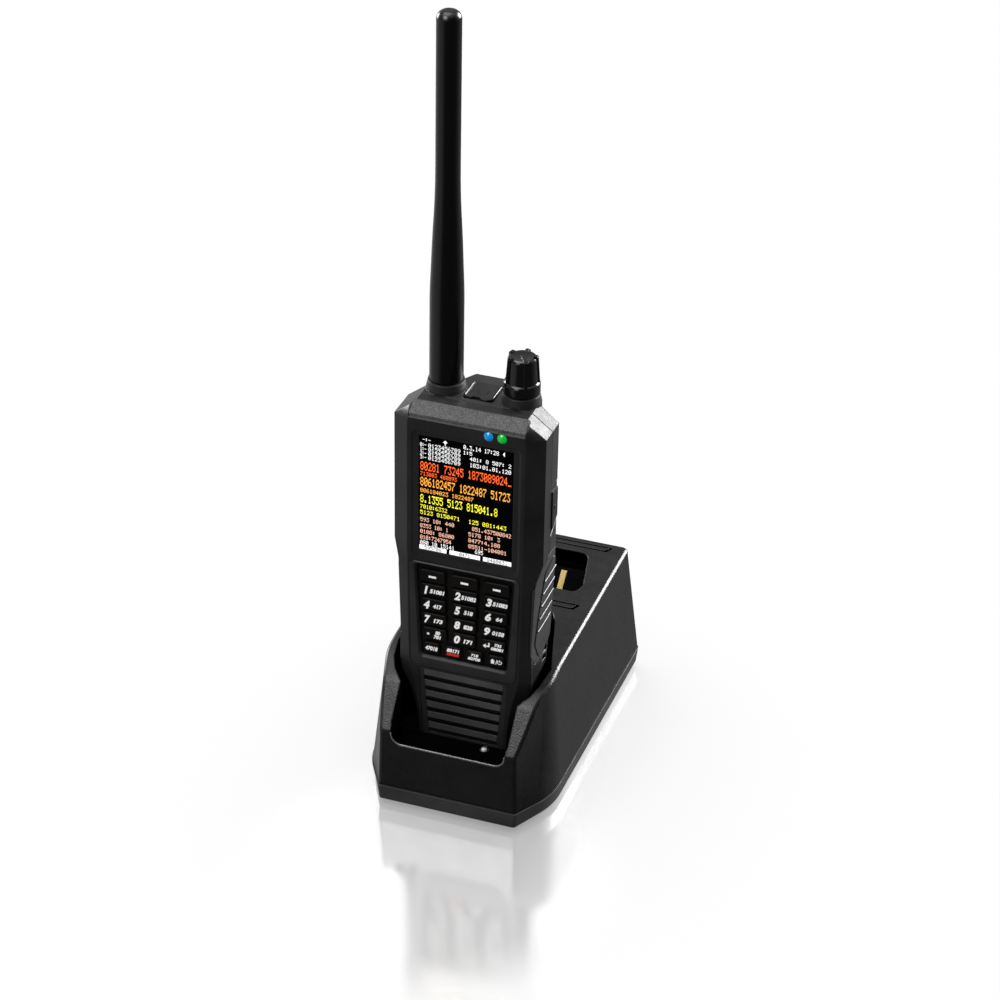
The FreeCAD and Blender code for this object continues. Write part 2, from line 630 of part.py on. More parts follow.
def battery_case():
    shell = battery_body().cut(battery_body(1.8))
    shell = shell.cut(box(-40, 40, 0, BATTERY_FRONT + 1.6, -130, 0))
    notch = box(-6.2, 6.2, 22.0, 27.6, -38.6, BATTERY_TOP + 1)
    return shell.cut(notch).cut(battery_pads())


def battery_lid():
    lid = battery_body().common(box(-40, 40, 0, BATTERY_FRONT + 1.5, -130, 0))
    return lid.cut(box(-40, 40, 0, BATTERY_FRONT + 0.05, -130, 0))


def battery_cells():
    cells = []
    for side in (-1, 1):
        cells.append(cylinder((side * 9.3, 32.2, CELL_BOTTOM), (0, 0, 1), 9.0, CELL_LENGTH))
    return Part.makeCompound(cells)


def on_toe(width, low, high, proud, sunk):
    """A plate parallel to the battery's bevelled toe, given by distances along and off it."""
    start = Vector(0, *TOE_LOW)
    end = Vector(0, *TOE_HIGH)
    along = (end - start).normalize()
    off = Vector(0, along.z, -along.y)
    corners = []
    for reach, out in ((low, -sunk), (high, -sunk), (high, proud), (low, proud)):
        point = start + along * reach + off * out
        corners.append((point.y, point.z))
    return [prism_x(corners, x - width, x + width) for x in CONTACT_X]


def battery_pads():
    return Part.makeCompound(on_toe(1.6, 2.0, 10.2, 0.1, 0.5))


def battery_latch():
    tab = prism_x([(25.0, -34.6), (27.6, -34.6), (28.4, -33.4), (28.4, -31.0), (27.0, -28.4), (25.0, -28.4)],
                  -7.0, 7.0)
    tongue = box(-5.6, 5.6, 25.0, 26.8, -37.8, -34.5)
    rail = box(-6.0, 6.0, 23.9, 25.1, -34.6, -28.4)
    return fuse([tab, tongue, rail])


# ---------------------------------------------------------------- charging cradle
def plan_radii(inset=0.0):
    """Corner radii of a cradle outline: tight at the nose and tail, wide at the shoulders."""
    side = [1.5, SHOULDER_RADIUS - inset, 2.5]
    return side + side[::-1]


def cradle_plan(z, inset=0.0):
    """Outline of the housing at a height: a nose that widens to a straight-sided body."""
    share = (z - BASE_BOTTOM) / (CRADLE_HEIGHT - BASE_BOTTOM)
    nose = 28.0 - 1.1 * share
    shoulder = 38.4 - 4.8 * share
    tail = 40.45 - 6.35 * share
    y_nose = 2.5 * share
    y_shoulder = 15.5 + 10.5 * share
    y_tail = CRADLE_LENGTH - CRADLE_SETBACK - 0.2
    return mirrored([(nose - inset, y_nose + inset), (shoulder - inset, y_shoulder + 0.3 * inset),
                     (tail - inset, y_tail - inset)])


def cradle_wire(z, inset=0.0):
    return face_of([(x, y, z) for x, y in cradle_plan(z, inset)], plan_radii(inset)).OuterWire


def top_profile(drop=0.0):
    """Side view of the top, as the region to remove above it: wing slope, crest and flat."""
    foot = Vector(0, 1.2 + 0.6 * drop, 34.0 - drop)
    knee = Vector(0, 14.0 + 0.6 * drop, 48.8 - drop)
    flat = Vector(0, 43.0, CRADLE_HEIGHT - drop)
    crest = Part.BSplineCurve()
    crest.interpolate(Points=[knee, Vector(0, 18.2 + 0.5 * drop, 51.9 - drop),
                              Vector(0, 24.0 + 0.3 * drop, 54.2 - drop), Vector(0, 32.5, 55.8 - drop), flat],
                      InitialTangent=Vector(0, 0.65, 0.75), FinalTangent=Vector(0, 1, 0))
    front_low = Vector(0, -10, 34.0 - drop)
    back = Vector(0, 140, CRADLE_HEIGHT - drop)
    corners = [back, Vector(0, 140, 90), Vector(0, -10, 90), front_low]
    edges = [Part.makeLine(foot, knee), crest.toShape(), Part.makeLine(flat, corners[0])]
    edges += [Part.makeLine(corners[i], corners[i + 1]) for i in range(3)]
    edges.append(Part.makeLine(front_low, foot))
    face = Part.Face(Part.Wire(edges))
    face.translate(Vector(-50, 0, 0))
    return face.extrude(Vector(100, 0, 0))


def seat_radio(shape):
    """Carry a shape from the radio frame into the cradle frame."""
    placed = shape.copy()
    placed.Placement = Placement(Vector(0, RADIO_SEAT_Y, RADIO_SEAT_Z),
                                 Rotation(Vector(1, 0, 0), -RADIO_TILT)).multiply(placed.Placement)
    return placed


def bay_hollow(grow=0.0):
    """Space the radio drops into, in the radio frame."""
    plan = mirrored([(23.8 + grow, -4.9 - grow), (27.3 + grow, -1.3 - grow), (29.6 + grow, 3.4),
                     (31.0 + grow, 12.5), (22.4 + grow, 42.6 + 0.4 * grow), (19.4 + grow, 48.2 + grow)])
    hollow = prism_z(plan, RADIO_BOTTOM - 0.1 - grow, -40.0, 1.6)
    shift = (TOE_CLEARANCE + grow) * math.sqrt(0.5)
    low_y, low_z = TOE_LOW[0] - 1 + shift, TOE_LOW[1] - 1 - shift
    high_y, high_z = TOE_HIGH[0] + 2 + shift, TOE_HIGH[1] + 2 - shift
    wedge = [(low_y, low_z), (high_y, high_z), (60, high_z), (60, -130), (low_y, -130)]
    return hollow.cut(prism_x(wedge, -40, 40))


def front_recess(grow=0.0):
    """Open space ahead of the radio, between the wings."""
    plan = mirrored([(23.6 + grow, 2.0 - 0.4 * grow), (23.6 + grow, 21.0)])
    return prism_z(plan, RECESS_FLOOR - grow, 70, 2.6)


def lip_notch():
    outline = [(23.0, LIP_HEIGHT), (24.3, 70), (-24.3, 70), (-23.0, LIP_HEIGHT)]
    return prism_y(outline, -5, 14, [4.2, 0.5, 0.5, 4.2])


def well_hollow(grow=0.0):
    """Bay for the spare battery, with a sloping contact shelf along its back."""
    plan = mirrored([(23.6 + grow, 84.0 - grow), (25.0 + grow, 89.5), (20.3 + grow, 111.2 + grow)])
    hollow = prism_z(plan, WELL_FLOOR - grow, 70, [3.0, 2.0, 4.5, 4.5, 2.0, 3.0])
    shelf = [(90.0, 33.0 - grow), WELL_SLOPE_LOW, WELL_SLOPE_HIGH, (120, 49.9), (120, 20), (90, 20)]
    lowered = [(y + 0.7 * grow, z - 0.7 * grow) for y, z in shelf]
    return hollow.cut(prism_x(lowered, -40, 40))


def rail_groove(y_front, y_back):
    outer = mirrored([(26.6, y_front), (28.6, y_back)])
    inner = mirrored([(25.5, y_front + 0.8), (26.9, y_back - 0.8)])
    deep = prism_z(outer, CRADLE_HEIGHT - 1.4, CRADLE_HEIGHT + 1)
    return deep.cut(prism_z(inner, CRADLE_HEIGHT - 1.5, CRADLE_HEIGHT))


def cradle_housing():
    outer = Part.makeLoft([cradle_wire(BASE_TOP + 0.1), cradle_wire(CRADLE_HEIGHT + 4)], True, True)
    outer = outer.cut(top_profile())
    ridge = [edge for edge in outer.Edges if edge.BoundBox.ZMin > 33.0 and edge.BoundBox.YLength > 3.0
             and abs(edge.CenterOfMass.x) > 24]
    outer = outer.makeChamfer(0.8, ridge)
    inner = Part.makeLoft([cradle_wire(BASE_TOP, SHELL), cradle_wire(CRADLE_HEIGHT + 4, SHELL)], True, True)
    inner = inner.cut(top_profile(2.4))
    tubs = seat_radio(bay_hollow(1.9)).fuse(well_hollow(1.9)).fuse(front_recess(1.9))
    columns = []
    for x, y in HOUSING_SCREWS:
        for side in (-1, 1):
            columns.append(cylinder((side * x, y, BASE_TOP + 0.1), (0, 0, 1), 3.4, 30))
    inner = inner.cut(tubs).cut(columns[0].multiFuse(columns[1:]))
    housing = outer.cut(inner)
    housing = housing.cut(seat_radio(bay_hollow())).cut(well_hollow()).cut(front_recess()).cut(lip_notch())
    housing = housing.cut(rail_groove(72.2, 76.0)).cut(rail_groove(114.5, 118.1))
    housing = housing.cut(cylinder(LED_PLACE + (20,), (0, 0, 1), 2.1, 12))
    housing = housing.cut(cylinder((JACK_X, 115, JACK_Z), (0, 1, 0), 4.3, 12))
    housing = housing.cut(box(JACK_X - 5.2, JACK_X + 5.2, 104, 118.9, 9, 21.2))
    for x, y in HOUSING_SCREWS:
        for side in (-1, 1):
            housing = housing.cut(cylinder((side * x, y, 8), (0, 0, 1), 1.3, 12))
    return housing


def base_low_plan(inset=0.0):
    return mirrored([(27.6 - inset, inset), (37.5 - inset, 18.5 + 0.3 * inset),
                     (39.2 - inset, CRADLE_LENGTH - 0.9 - inset)])


def base_high_plan():
    return mirrored([(28.1, -CRADLE_SETBACK), (37.95, 16.1), (39.95, CRADLE_LENGTH - CRADLE_SETBACK)])


def cradle_base():
    low = face_of([(x, y, BASE_BOTTOM) for x, y in base_low_plan()], plan_radii())
    high = face_of([(x, y, BASE_TOP) for x, y in base_high_plan()], plan_radii())
    tray = Part.makeLoft([low.OuterWire, high.OuterWire], True, True)
    tray = tray.cut(prism_z(base_low_plan(2.4), BASE_BOTTOM + 2.0, BASE_TOP + 1, plan_radii(2.4)))
    posts = []
    for x, y in HOUSING_SCREWS:
        for side in (-1, 1):
            posts.append(cylinder((side * x, y, BASE_BOTTOM + 1), (0, 0, 1), 3.6, BASE_TOP - BASE_BOTTOM - 1))
    for x, y in BOARD_POSTS:
        posts.append(cylinder((x, y, BASE_BOTTOM + 1), (0, 0, 1), 2.2, 1.95))
    tray = fuse([tray] + posts)
    for x, y in HOUSING_SCREWS:
        for side in (-1, 1):
            tray = tray.cut(cylinder((side * x, y, 0), (0, 0, 1), 1.45, 12))
            tray = tray.cut(cylinder((side * x, y, 0), (0, 0, 1), 2.9, 5.0))
    for x, y in FEET:
        for side in (-1, 1):
            tray = tray.cut(cylinder((side * x, y, 0), (0, 0, 1), 5.05, BASE_BOTTOM + 0.7))
    return tray


def cradle_board():
    board = box(-27, 15, 72, 108, BASE_BOTTOM + 3.0, BASE_BOTTOM + 4.6)
    board = board.fuse(box(14, 27, 72, 102, BASE_BOTTOM + 3.0, BASE_BOTTOM + 4.6))
    parts = [box(-20, -8, 80, 90, 7.0, 14.0), box(0, 8, 78, 92, 7.0, 11.0)]
    parts.append(cylinder((18, 84, 7.0), (0, 0, 1), 4.0, 12.0))
    return fuse([board] + parts)


def charge_led():
    x, y = LED_PLACE
    body = cylinder((x, y, 22.0), (0, 0, 1), 2.0, 5.2)
    stem = cylinder((x, y, 27.0), (0, 0, 1), 1.15, 0.5)
    dome = Part.makeSphere(1.15, Vector(x, y, 27.5))
    return fuse([body, stem, dome])


def bay_contacts():
    leaves = on_toe(CONTACT_HALF, 2.6, 9.6, TOE_CLEARANCE, -0.3)
    return Part.makeCompound([seat_radio(leaf) for leaf in leaves])


def well_contacts():
    low = Vector(0, *WELL_SLOPE_LOW)
    high = Vector(0, *WELL_SLOPE_HIGH)
    along = (high - low).normalize()
    off = Vector(0, -along.z, along.y)
    corners = []
    for reach, out in ((1.0, 0.0), (15.6, 0.0), (15.6, 0.5), (1.0, 0.5)):
        point = low + along * reach + off * out
        corners.append((point.y, point.z))
    leaves = [prism_x(corners, x - CONTACT_HALF, x + CONTACT_HALF) for x in CONTACT_X]
    return Part.makeCompound(leaves)


def dc_jack():
    body = box(JACK_X - 5.0, JACK_X + 5.0, 104.5, 118.7, 9.7, 20.9)
    nose = cylinder((JACK_X, 118.6, JACK_Z), (0, 1, 0), 4.2, 2.1)
    socket = cylinder((JACK_X, 109.0, JACK_Z), (0, 1, 0), 3.2, 20)
    pin = cylinder((JACK_X, 108.5, JACK_Z), (0, 1, 0), 1.0, 9.5)
    return fuse([fuse([body, nose]).cut(socket), pin])


def cradle_feet():
    feet = []
    for x, y in FEET:
        for side in (-1, 1):
            foot = Part.makeCone(4.5, 5.0, 1.0, Vector(side * x, y, 0), Vector(0, 0, 1))
            feet.append(fuse([foot, cylinder((side * x, y, 1.0), (0, 0, 1), 5.0, BASE_BOTTOM - 0.3)]))
    return Part.makeCompound(feet)


def cradle_screws():
    screws = []
    for x, y in HOUSING_SCREWS:
        for side in (-1, 1):
            head = cylinder((side * x, y, 3.4), (0, 0, 1), 2.6, 1.6)
            head = head.cut(box(side * x - 1.5, side * x + 1.5, y - 0.35, y + 0.35, 3, 4.1))
            shank = cylinder((side * x, y, 4.9), (0, 0, 1), 1.25, 12.0)
            screws.append(fuse([head, shank]))
    return Part.makeCompound(screws)


# ---------------------------------------------------------------- export
def centred(shape):
    """Move from the cradle frame to the exported origin."""
    placed = shape.copy()
    shift = Placement(Vector(0, CRADLE_SETBACK - CRADLE_LENGTH / 2, 0), Rotation())
    placed.Placement = shift.multiply(placed.Placement)
    return placed


def export(name, shape):
    shape.exportStep("parts/" + name + ".step")


RADIO_NODES = {
    "front_case": front_case, "rear_case": rear_case, "case_seal": case_seal, "top_band": top_band,
    "display_window": display_window, "lcd_panel": lcd_panel, "keypad_frame": keypad_frame,
    "keypad_plate": keypad_plate, "keypad_mat": keypad_mat, "speaker_grille": speaker_grille,
    "speaker": speaker, "main_board": main_board, "encoder": encoder, "encoder_plunger": encoder_plunger,
    "encoder_shaft": encoder_shaft, "knob": knob, "antenna_jack": antenna_jack,
    "antenna_connector": antenna_connector, "antenna": antenna, "headphone_jack": headphone_jack,
    "headphone_flap": headphone_flap, "port_cover": port_cover, "usb_socket": usb_socket,
    "case_screws": case_screws, "battery_case": battery_case, "battery_lid": battery_lid,
    "battery_cells": battery_cells, "battery_pads": battery_pads, "battery_latch": battery_latch,
}
CRADLE_NODES = {
    "cradle_housing": cradle_housing, "cradle_base": cradle_base, "cradle_board": cradle_board,
    "charge_led": charge_led, "bay_contacts": bay_contacts, "well_contacts": well_contacts,
    "dc_jack": dc_jack, "cradle_feet": cradle_feet, "cradle_screws": cradle_screws,
}


def main():
    os.makedirs("parts", exist_ok=True)
    for name, make in RADIO_NODES.items():
        export(name, centred(seat_radio(make())))
    for name, x in LED_POSITIONS.items():
        export(name, centred(seat_radio(led_lens(x))))
    right, left = both_sides(side_grips())
    export("side_grips", centred(seat_radio(Part.makeCompound([right, left]))))
    for name, x, top, half in key_places():
        export("key_" + name, centred(seat_radio(key_solid(x, top, half, key_height(name)))))
    for name, make in CRADLE_NODES.items():
        export(name, centred(make()))


main()
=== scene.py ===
import math

import bpy
from mathutils import Matrix, Vector


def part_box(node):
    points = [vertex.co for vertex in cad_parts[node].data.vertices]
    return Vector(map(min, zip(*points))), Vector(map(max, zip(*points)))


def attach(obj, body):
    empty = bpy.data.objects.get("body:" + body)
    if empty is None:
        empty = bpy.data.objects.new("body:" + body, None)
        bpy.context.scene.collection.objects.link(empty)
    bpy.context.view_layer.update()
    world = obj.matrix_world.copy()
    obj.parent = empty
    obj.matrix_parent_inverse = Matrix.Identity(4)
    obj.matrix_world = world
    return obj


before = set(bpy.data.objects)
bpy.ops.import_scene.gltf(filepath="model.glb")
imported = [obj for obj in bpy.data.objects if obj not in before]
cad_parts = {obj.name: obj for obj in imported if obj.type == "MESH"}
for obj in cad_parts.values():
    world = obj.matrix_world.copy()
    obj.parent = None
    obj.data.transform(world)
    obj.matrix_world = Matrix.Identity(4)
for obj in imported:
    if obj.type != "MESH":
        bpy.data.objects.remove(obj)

# The charging cradle stands at the origin of the CAD frame, in metres.  The radio leans back in
# it, so everything on the radio is drawn in the radio's own millimetres: x to the right, y into
# the body from its front face, z up from the middle of the display.
MM = 0.001
TILT = math.radians(2.7)
RADIO = (Matrix.Translation(Vector((0.0, -36.81, 131.29)) * MM)
         @ Matrix.Rotation(-TILT, 4, "X") @ Matrix.Diagonal((MM, MM, MM, 1.0)))
CRADLE = Matrix.Translation(Vector((0.0, -60.4, 0.0)) * MM) @ Matrix.Diagonal((MM, MM, MM, 1.0))
KEYS = [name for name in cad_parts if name.startswith("key_")]
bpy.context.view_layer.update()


# ---------------------------------------------------------------- materials
def new_material(name):
    material = bpy.data.materials.new(name)
    material.use_nodes = True
    nodes = material.node_tree.nodes
    return material, nodes, material.node_tree.links, nodes["Principled BSDF"]


def object_position(nodes):
    return nodes.new("ShaderNodeTexCoord").outputs["Object"]


def noise(nodes, links, scale, detail=3.0, roughness=0.55):
    texture = nodes.new("ShaderNodeTexNoise")
    texture.inputs["Scale"].default_value = scale
    texture.inputs["Detail"].default_value = detail
    texture.inputs["Roughness"].default_value = roughness
    links.new(object_position(nodes), texture.inputs["Vector"])
    return texture.outputs["Fac"]


def ramp(nodes, links, value, stops):
    node = nodes.new("ShaderNodeValToRGB")
    elements = node.color_ramp.elements
    while len(elements) < len(stops):
        elements.new(0.5)
    for element, (place, colour) in zip(elements, stops):
        element.position = place
        element.color = colour
    links.new(value, node.inputs["Fac"])
    return node.outputs["Color"]


def grey(level):
    return (level, level, level, 1.0)


def shade(colour, factor):
    return tuple(min(1.0, part * factor) for part in colour[:3]) + (1.0,)


def inside(nodes, links, low, high):
    """1 within a box of the frame, given by two corners in millimetres, and 0 outside it."""
    value = object_position(nodes)
    middle = [(a + b) / 2 * MM for a, b in zip(low, high)]
    half = [(b - a) / 2 * MM for a, b in zip(low, high)]
    for operation, operand in (("SUBTRACT", middle), ("ABSOLUTE", None), ("SUBTRACT", half)):
        step = nodes.new("ShaderNodeVectorMath")
        step.operation = operation
        links.new(value, step.inputs[0])
        if operand:
            step.inputs[1].default_value = operand
        value = step.outputs["Vector"]
    parts = nodes.new("ShaderNodeSeparateXYZ")
    links.new(value, parts.inputs["Vector"])
    reach = parts.outputs["X"]
    for axis in ("Y", "Z"):
        larger = nodes.new("ShaderNodeMath")
        larger.operation = "MAXIMUM"
        links.new(reach, larger.inputs[0])
        links.new(parts.outputs[axis], larger.inputs[1])
        reach = larger.outputs["Value"]
    within = nodes.new("ShaderNodeMath")
    within.operation = "LESS_THAN"
    within.inputs[1].default_value = 0.0
    links.new(reach, within.inputs[0])
    return within.outputs["Value"]


def blend(nodes, links, factor, colour, other):
    mix = nodes.new("ShaderNodeMix")
    mix.data_type = "RGBA"
    for socket in mix.inputs:
        if socket.identifier == "B_Color":
            socket.default_value = other
        elif socket.identifier == "A_Color":
            links.new(colour, socket)
        elif socket.identifier == "Factor_Float":
            links.new(factor, socket)
    return next(socket for socket in mix.outputs if socket.identifier == "Result_Color")


def plastic(name, colour, rough=0.4, specular=0.3, grain=0.05, grain_scale=3500.0, mottle=0.25,
            edge=0.25, spread=0.05, coat=0.0, painted_shade_boxes=()):
    """Moulded surface: cloudy tone, uneven gloss, spark-eroded grain and softened edges; inside the given
    boxes its colour and gloss are painted darker as painted shade.
    """
    material, nodes, links, shader = new_material(name)
    cloud = noise(nodes, links, 60.0)
    tone = ramp(nodes, links, cloud,
                [(0.3, shade(colour, 1 - mottle)), (0.7, shade(colour, 1 + mottle))])
    shader.inputs["Specular IOR Level"].default_value = specular
    # Painted shade: inside the boxes the colour drops to 0.12 of itself and the specular level to 0.02.
    if painted_shade_boxes:
        painted_shade_mask = inside(nodes, links, *painted_shade_boxes[0])
        for low, high in painted_shade_boxes[1:]:
            either_painted_shade = nodes.new("ShaderNodeMath")
            either_painted_shade.operation = "MAXIMUM"
            links.new(painted_shade_mask, either_painted_shade.inputs[0])
            links.new(inside(nodes, links, low, high), either_painted_shade.inputs[1])
            painted_shade_mask = either_painted_shade.outputs["Value"]
        tone = blend(nodes, links, painted_shade_mask, tone, shade(colour, 0.12))
        painted_shade_gloss = nodes.new("ShaderNodeMapRange")
        painted_shade_gloss.inputs["To Min"].default_value, painted_shade_gloss.inputs["To Max"].default_value = specular, 0.02
        links.new(painted_shade_mask, painted_shade_gloss.inputs["Value"])
        links.new(painted_shade_gloss.outputs["Result"], shader.inputs["Specular IOR Level"])
    links.new(tone, shader.inputs["Base Color"])
    gloss = ramp(nodes, links, noise(nodes, links, 240.0),
                 [(0.3, grey(max(0.03, rough - spread))), (0.7, grey(rough + spread))])
    links.new(gloss, shader.inputs["Roughness"])
    shader.inputs["Coat Weight"].default_value = coat
    shader.inputs["Coat Roughness"].default_value = 0.12
    bevel = nodes.new("ShaderNodeBevel")
    bevel.samples = 6
    bevel.inputs["Radius"].default_value = edge * MM
    bump = nodes.new("ShaderNodeBump")
    bump.inputs["Strength"].default_value = grain
    bump.inputs["Distance"].default_value = 0.2 * MM
    links.new(noise(nodes, links, grain_scale, 2.0), bump.inputs["Height"])
    links.new(bevel.outputs["Normal"], bump.inputs["Normal"])
    links.new(bump.outputs["Normal"], shader.inputs["Normal"])
    return material


def metal(name, colour, rough=0.25):
    """Metal with fine streaks in its tone and gloss."""
    material, nodes, links, shader = new_material(name)
    shader.inputs["Metallic"].default_value = 1.0
    stretch = nodes.new("ShaderNodeMapping")
    stretch.inputs["Scale"].default_value = (1.0, 1.0, 12.0)
    links.new(object_position(nodes), stretch.inputs["Vector"])
    streaks = nodes.new("ShaderNodeTexNoise")
    streaks.inputs["Scale"].default_value = 900.0
    links.new(stretch.outputs["Vector"], streaks.inputs["Vector"])
    tone = ramp(nodes, links, streaks.outputs["Fac"],
                [(0.3, shade(colour, 0.8)), (0.7, shade(colour, 1.1))])
    links.new(tone, shader.inputs["Base Color"])
    gloss = ramp(nodes, links, streaks.outputs["Fac"],
                 [(0.3, grey(rough * 0.7)), (0.7, grey(rough * 1.4))])
    links.new(gloss, shader.inputs["Roughness"])
    return material


def speckled(name, dark, light):
    """Grey paint full of fine bright and dark flakes."""
    material, nodes, links, shader = new_material(name)
    flakes = nodes.new("ShaderNodeTexVoronoi")
    flakes.inputs["Scale"].default_value = 4200.0
    links.new(object_position(nodes), flakes.inputs["Vector"])
    tone = ramp(nodes, links, flakes.outputs["Color"], [(0.15, dark), (0.85, light)])
    links.new(tone, shader.inputs["Base Color"])
    shader.inputs["Specular IOR Level"].default_value = 0.3
    shader.inputs["Roughness"].default_value = 0.5
    bump = nodes.new("ShaderNodeBump")
    bump.inputs["Strength"].default_value = 0.25
    bump.inputs["Distance"].default_value = 0.1 * MM
    links.new(flakes.outputs["Distance"], bump.inputs["Height"])
    links.new(bump.outputs["Normal"], shader.inputs["Normal"])
    return material


def lens(name, colour, glow):
    """Tinted lens that is lit from inside, brightest in its middle."""
    material, nodes, links, shader = new_material(name)
    facing = nodes.new("ShaderNodeLayerWeight")
    facing.inputs["Blend"].default_value = 0.35
    tone = ramp(nodes, links, facing.outputs["Facing"],
                [(0.0, shade(colour, 1.0)), (0.9, shade(colour, 0.3))])
    links.new(tone, shader.inputs["Base Color"])
    links.new(tone, shader.inputs["Emission Color"])
    shader.inputs["Emission Strength"].default_value = glow
    shader.inputs["Roughness"].default_value = 0.08
    shader.inputs["Coat Weight"].default_value = 0.6
    return material


def clear_glass(name):
    """Thin hard pane: see-through, with the gloss of glass."""
    material, nodes, links, shader = new_material(name)
    nodes.remove(shader)
    through = nodes.new("ShaderNodeBsdfTransparent")
    gloss = nodes.new("ShaderNodeBsdfGlossy")
    gloss.inputs["Roughness"].default_value = 0.03
    fresnel = nodes.new("ShaderNodeFresnel")
    fresnel.inputs["IOR"].default_value = 1.18
    smears = ramp(nodes, links, noise(nodes, links, 90.0), [(0.3, grey(0.02)), (0.8, grey(0.07))])
    links.new(smears, gloss.inputs["Roughness"])
    mix = nodes.new("ShaderNodeMixShader")
    links.new(fresnel.outputs["Fac"], mix.inputs["Fac"])
    links.new(through.outputs["BSDF"], mix.inputs[1])
    links.new(gloss.outputs["BSDF"], mix.inputs[2])
    links.new(mix.outputs["Shader"], nodes["Material Output"].inputs["Surface"])
    return material


def lit_pixels(name, colour, strength=1.0):
    """Glowing display pixels with a faint grid of dark gaps between them."""
    material, nodes, links, shader = new_material(name)
    grid = nodes.new("ShaderNodeTexVoronoi")
    grid.inputs["Scale"].default_value = 6000.0
    links.new(object_position(nodes), grid.inputs["Vector"])
    tone = ramp(nodes, links, grid.outputs["Distance"],
                [(0.0, shade(colour, 1.0)), (0.8, shade(colour, 0.72))])
    links.new(tone, shader.inputs["Emission Color"])
    links.new(tone, shader.inputs["Base Color"])
    shader.inputs["Emission Strength"].default_value = strength
    shader.inputs["Specular IOR Level"].default_value = 0.03
    shader.inputs["Roughness"].default_value = 0.6
    return material


def print_ink(name, colour):
    """Ink that is screen-printed on plastic, slightly uneven."""
    return plastic(name, colour, rough=0.55, specular=0.2, grain=0.1, grain_scale=5000.0,
                   mottle=0.05, edge=0.02)


# Painted shade in the cradle, as boxes of the frame in millimetres where its colour and gloss are painted
# darker: the spare-battery well, the floor of the recess and the grooves round the two rails.
CRADLE_PAINTED_SHADE_BOXES = [((-25.3, 23.3, 33.0), (25.3, 51.3, 55.7)), ((-23.7, -58.3, 27.0), (23.7, -40.0, 29.0)),
                  ((-28.8, 11.7, 54.0), (28.8, 15.7, 56.15)), ((-28.8, 54.0, 54.0), (28.8, 57.8, 56.15))]

case_black = plastic("case_black", (0.009, 0.009, 0.0092), rough=0.4, specular=0.3, grain=0.22,
                     grain_scale=2600.0, edge=0.5)
rear_black = plastic("rear_black", (0.012, 0.012, 0.0125), rough=0.42, specular=0.32, grain=0.45,
                     grain_scale=2400.0, edge=0.6)
band_grey = speckled("band_grey", (0.012, 0.012, 0.0125, 1), (0.105, 0.105, 0.107, 1))
frame_black = plastic("frame_black", (0.015, 0.015, 0.0153), rough=0.42, specular=0.28, grain=0.08, edge=0.35)
plate_brown = plastic("plate_brown", (0.0046, 0.004, 0.0035), rough=0.5, specular=0.1, grain=0.06)
key_black = plastic("key_black", (0.0048, 0.0042, 0.0037), rough=0.42, specular=0.07, grain=0.06, edge=0.3)
grille_grey = plastic("grille_grey", (0.013, 0.013, 0.0133), rough=0.44, specular=0.34, grain=0.12, edge=0.15)
# A lighter copy of the grille's grey for the slat faces: painted light.
painted_light_slat_grey = plastic("painted_light_slat_grey", (0.042, 0.042, 0.043), rough=0.46, specular=0.38, grain=0.2, edge=0.15)
grip_grey = plastic("grip_grey", (0.022, 0.022, 0.0225), rough=0.5, specular=0.35, grain=0.08, edge=0.25)
seal_black = plastic("seal_black", (0.003, 0.003, 0.003), rough=0.6, specular=0.1)
inner_black = plastic("inner_black", (0.012, 0.012, 0.012), rough=0.5, specular=0.3)
knob_gloss = plastic("knob_gloss", (0.0015, 0.0015, 0.0015), rough=0.15, specular=0.55, grain=0.0, mottle=0.1,
                     edge=0.2, spread=0.01)
antenna_gloss = plastic("antenna_gloss", (0.0004, 0.0004, 0.0004), rough=0.25, specular=0.45, grain=0.005,
                        grain_scale=900.0, edge=0.3, spread=0.02)
flap_black = plastic("flap_black", (0.007, 0.007, 0.0072), rough=0.45, specular=0.25, grain=0.06, edge=0.2)
# The cradle's black, with painted shade in its spare-battery well, recess floor and rail grooves.
cradle_black = plastic("cradle_black", (0.0045, 0.0045, 0.0046), rough=0.33, specular=0.31, grain=0.6,
                       grain_scale=1500.0, edge=0.9, painted_shade_boxes=CRADLE_PAINTED_SHADE_BOXES)
base_black = plastic("base_black", (0.024, 0.024, 0.0244), rough=0.46, specular=0.32, grain=0.3,
                     grain_scale=2600.0, edge=0.35)
battery_black = plastic("battery_black", (0.011, 0.011, 0.0112), rough=0.42, specular=0.34, grain=0.2,
                        grain_scale=2600.0, edge=0.4)
foot_black = plastic("foot_black", (0.01, 0.01, 0.01), rough=0.7, specular=0.2, grain=0.3, grain_scale=1500.0)
board_green = plastic("board_green", (0.01, 0.09, 0.03), rough=0.35, specular=0.5, mottle=0.5)
cell_blue = plastic("cell_blue", (0.02, 0.08, 0.25), rough=0.3, specular=0.5)
cone_black = plastic("cone_black", (0.01, 0.01, 0.01), rough=0.7, specular=0.2, grain=0.4, grain_scale=1200.0)
contact_gold = metal("contact_gold", (0.36, 0.27, 0.1), rough=0.34)
plated_steel = metal("plated_steel", (0.5, 0.5, 0.51), rough=0.28)
shaft_metal = metal("shaft_metal", (0.62, 0.62, 0.63), rough=0.22)
window_glass = clear_glass("window_glass")
panel_black = plastic("panel_black", (0.0004, 0.0004, 0.0005), rough=0.6, specular=0.05, grain=0.0)
lens_blue = lens("lens_blue", (0.0, 0.17, 0.4), 0.5)
lens_green = lens("lens_green", (0.0, 0.33, 0.03), 0.5)
lens_clear = lens("lens_clear", (0.45, 0.46, 0.48), 0.05)
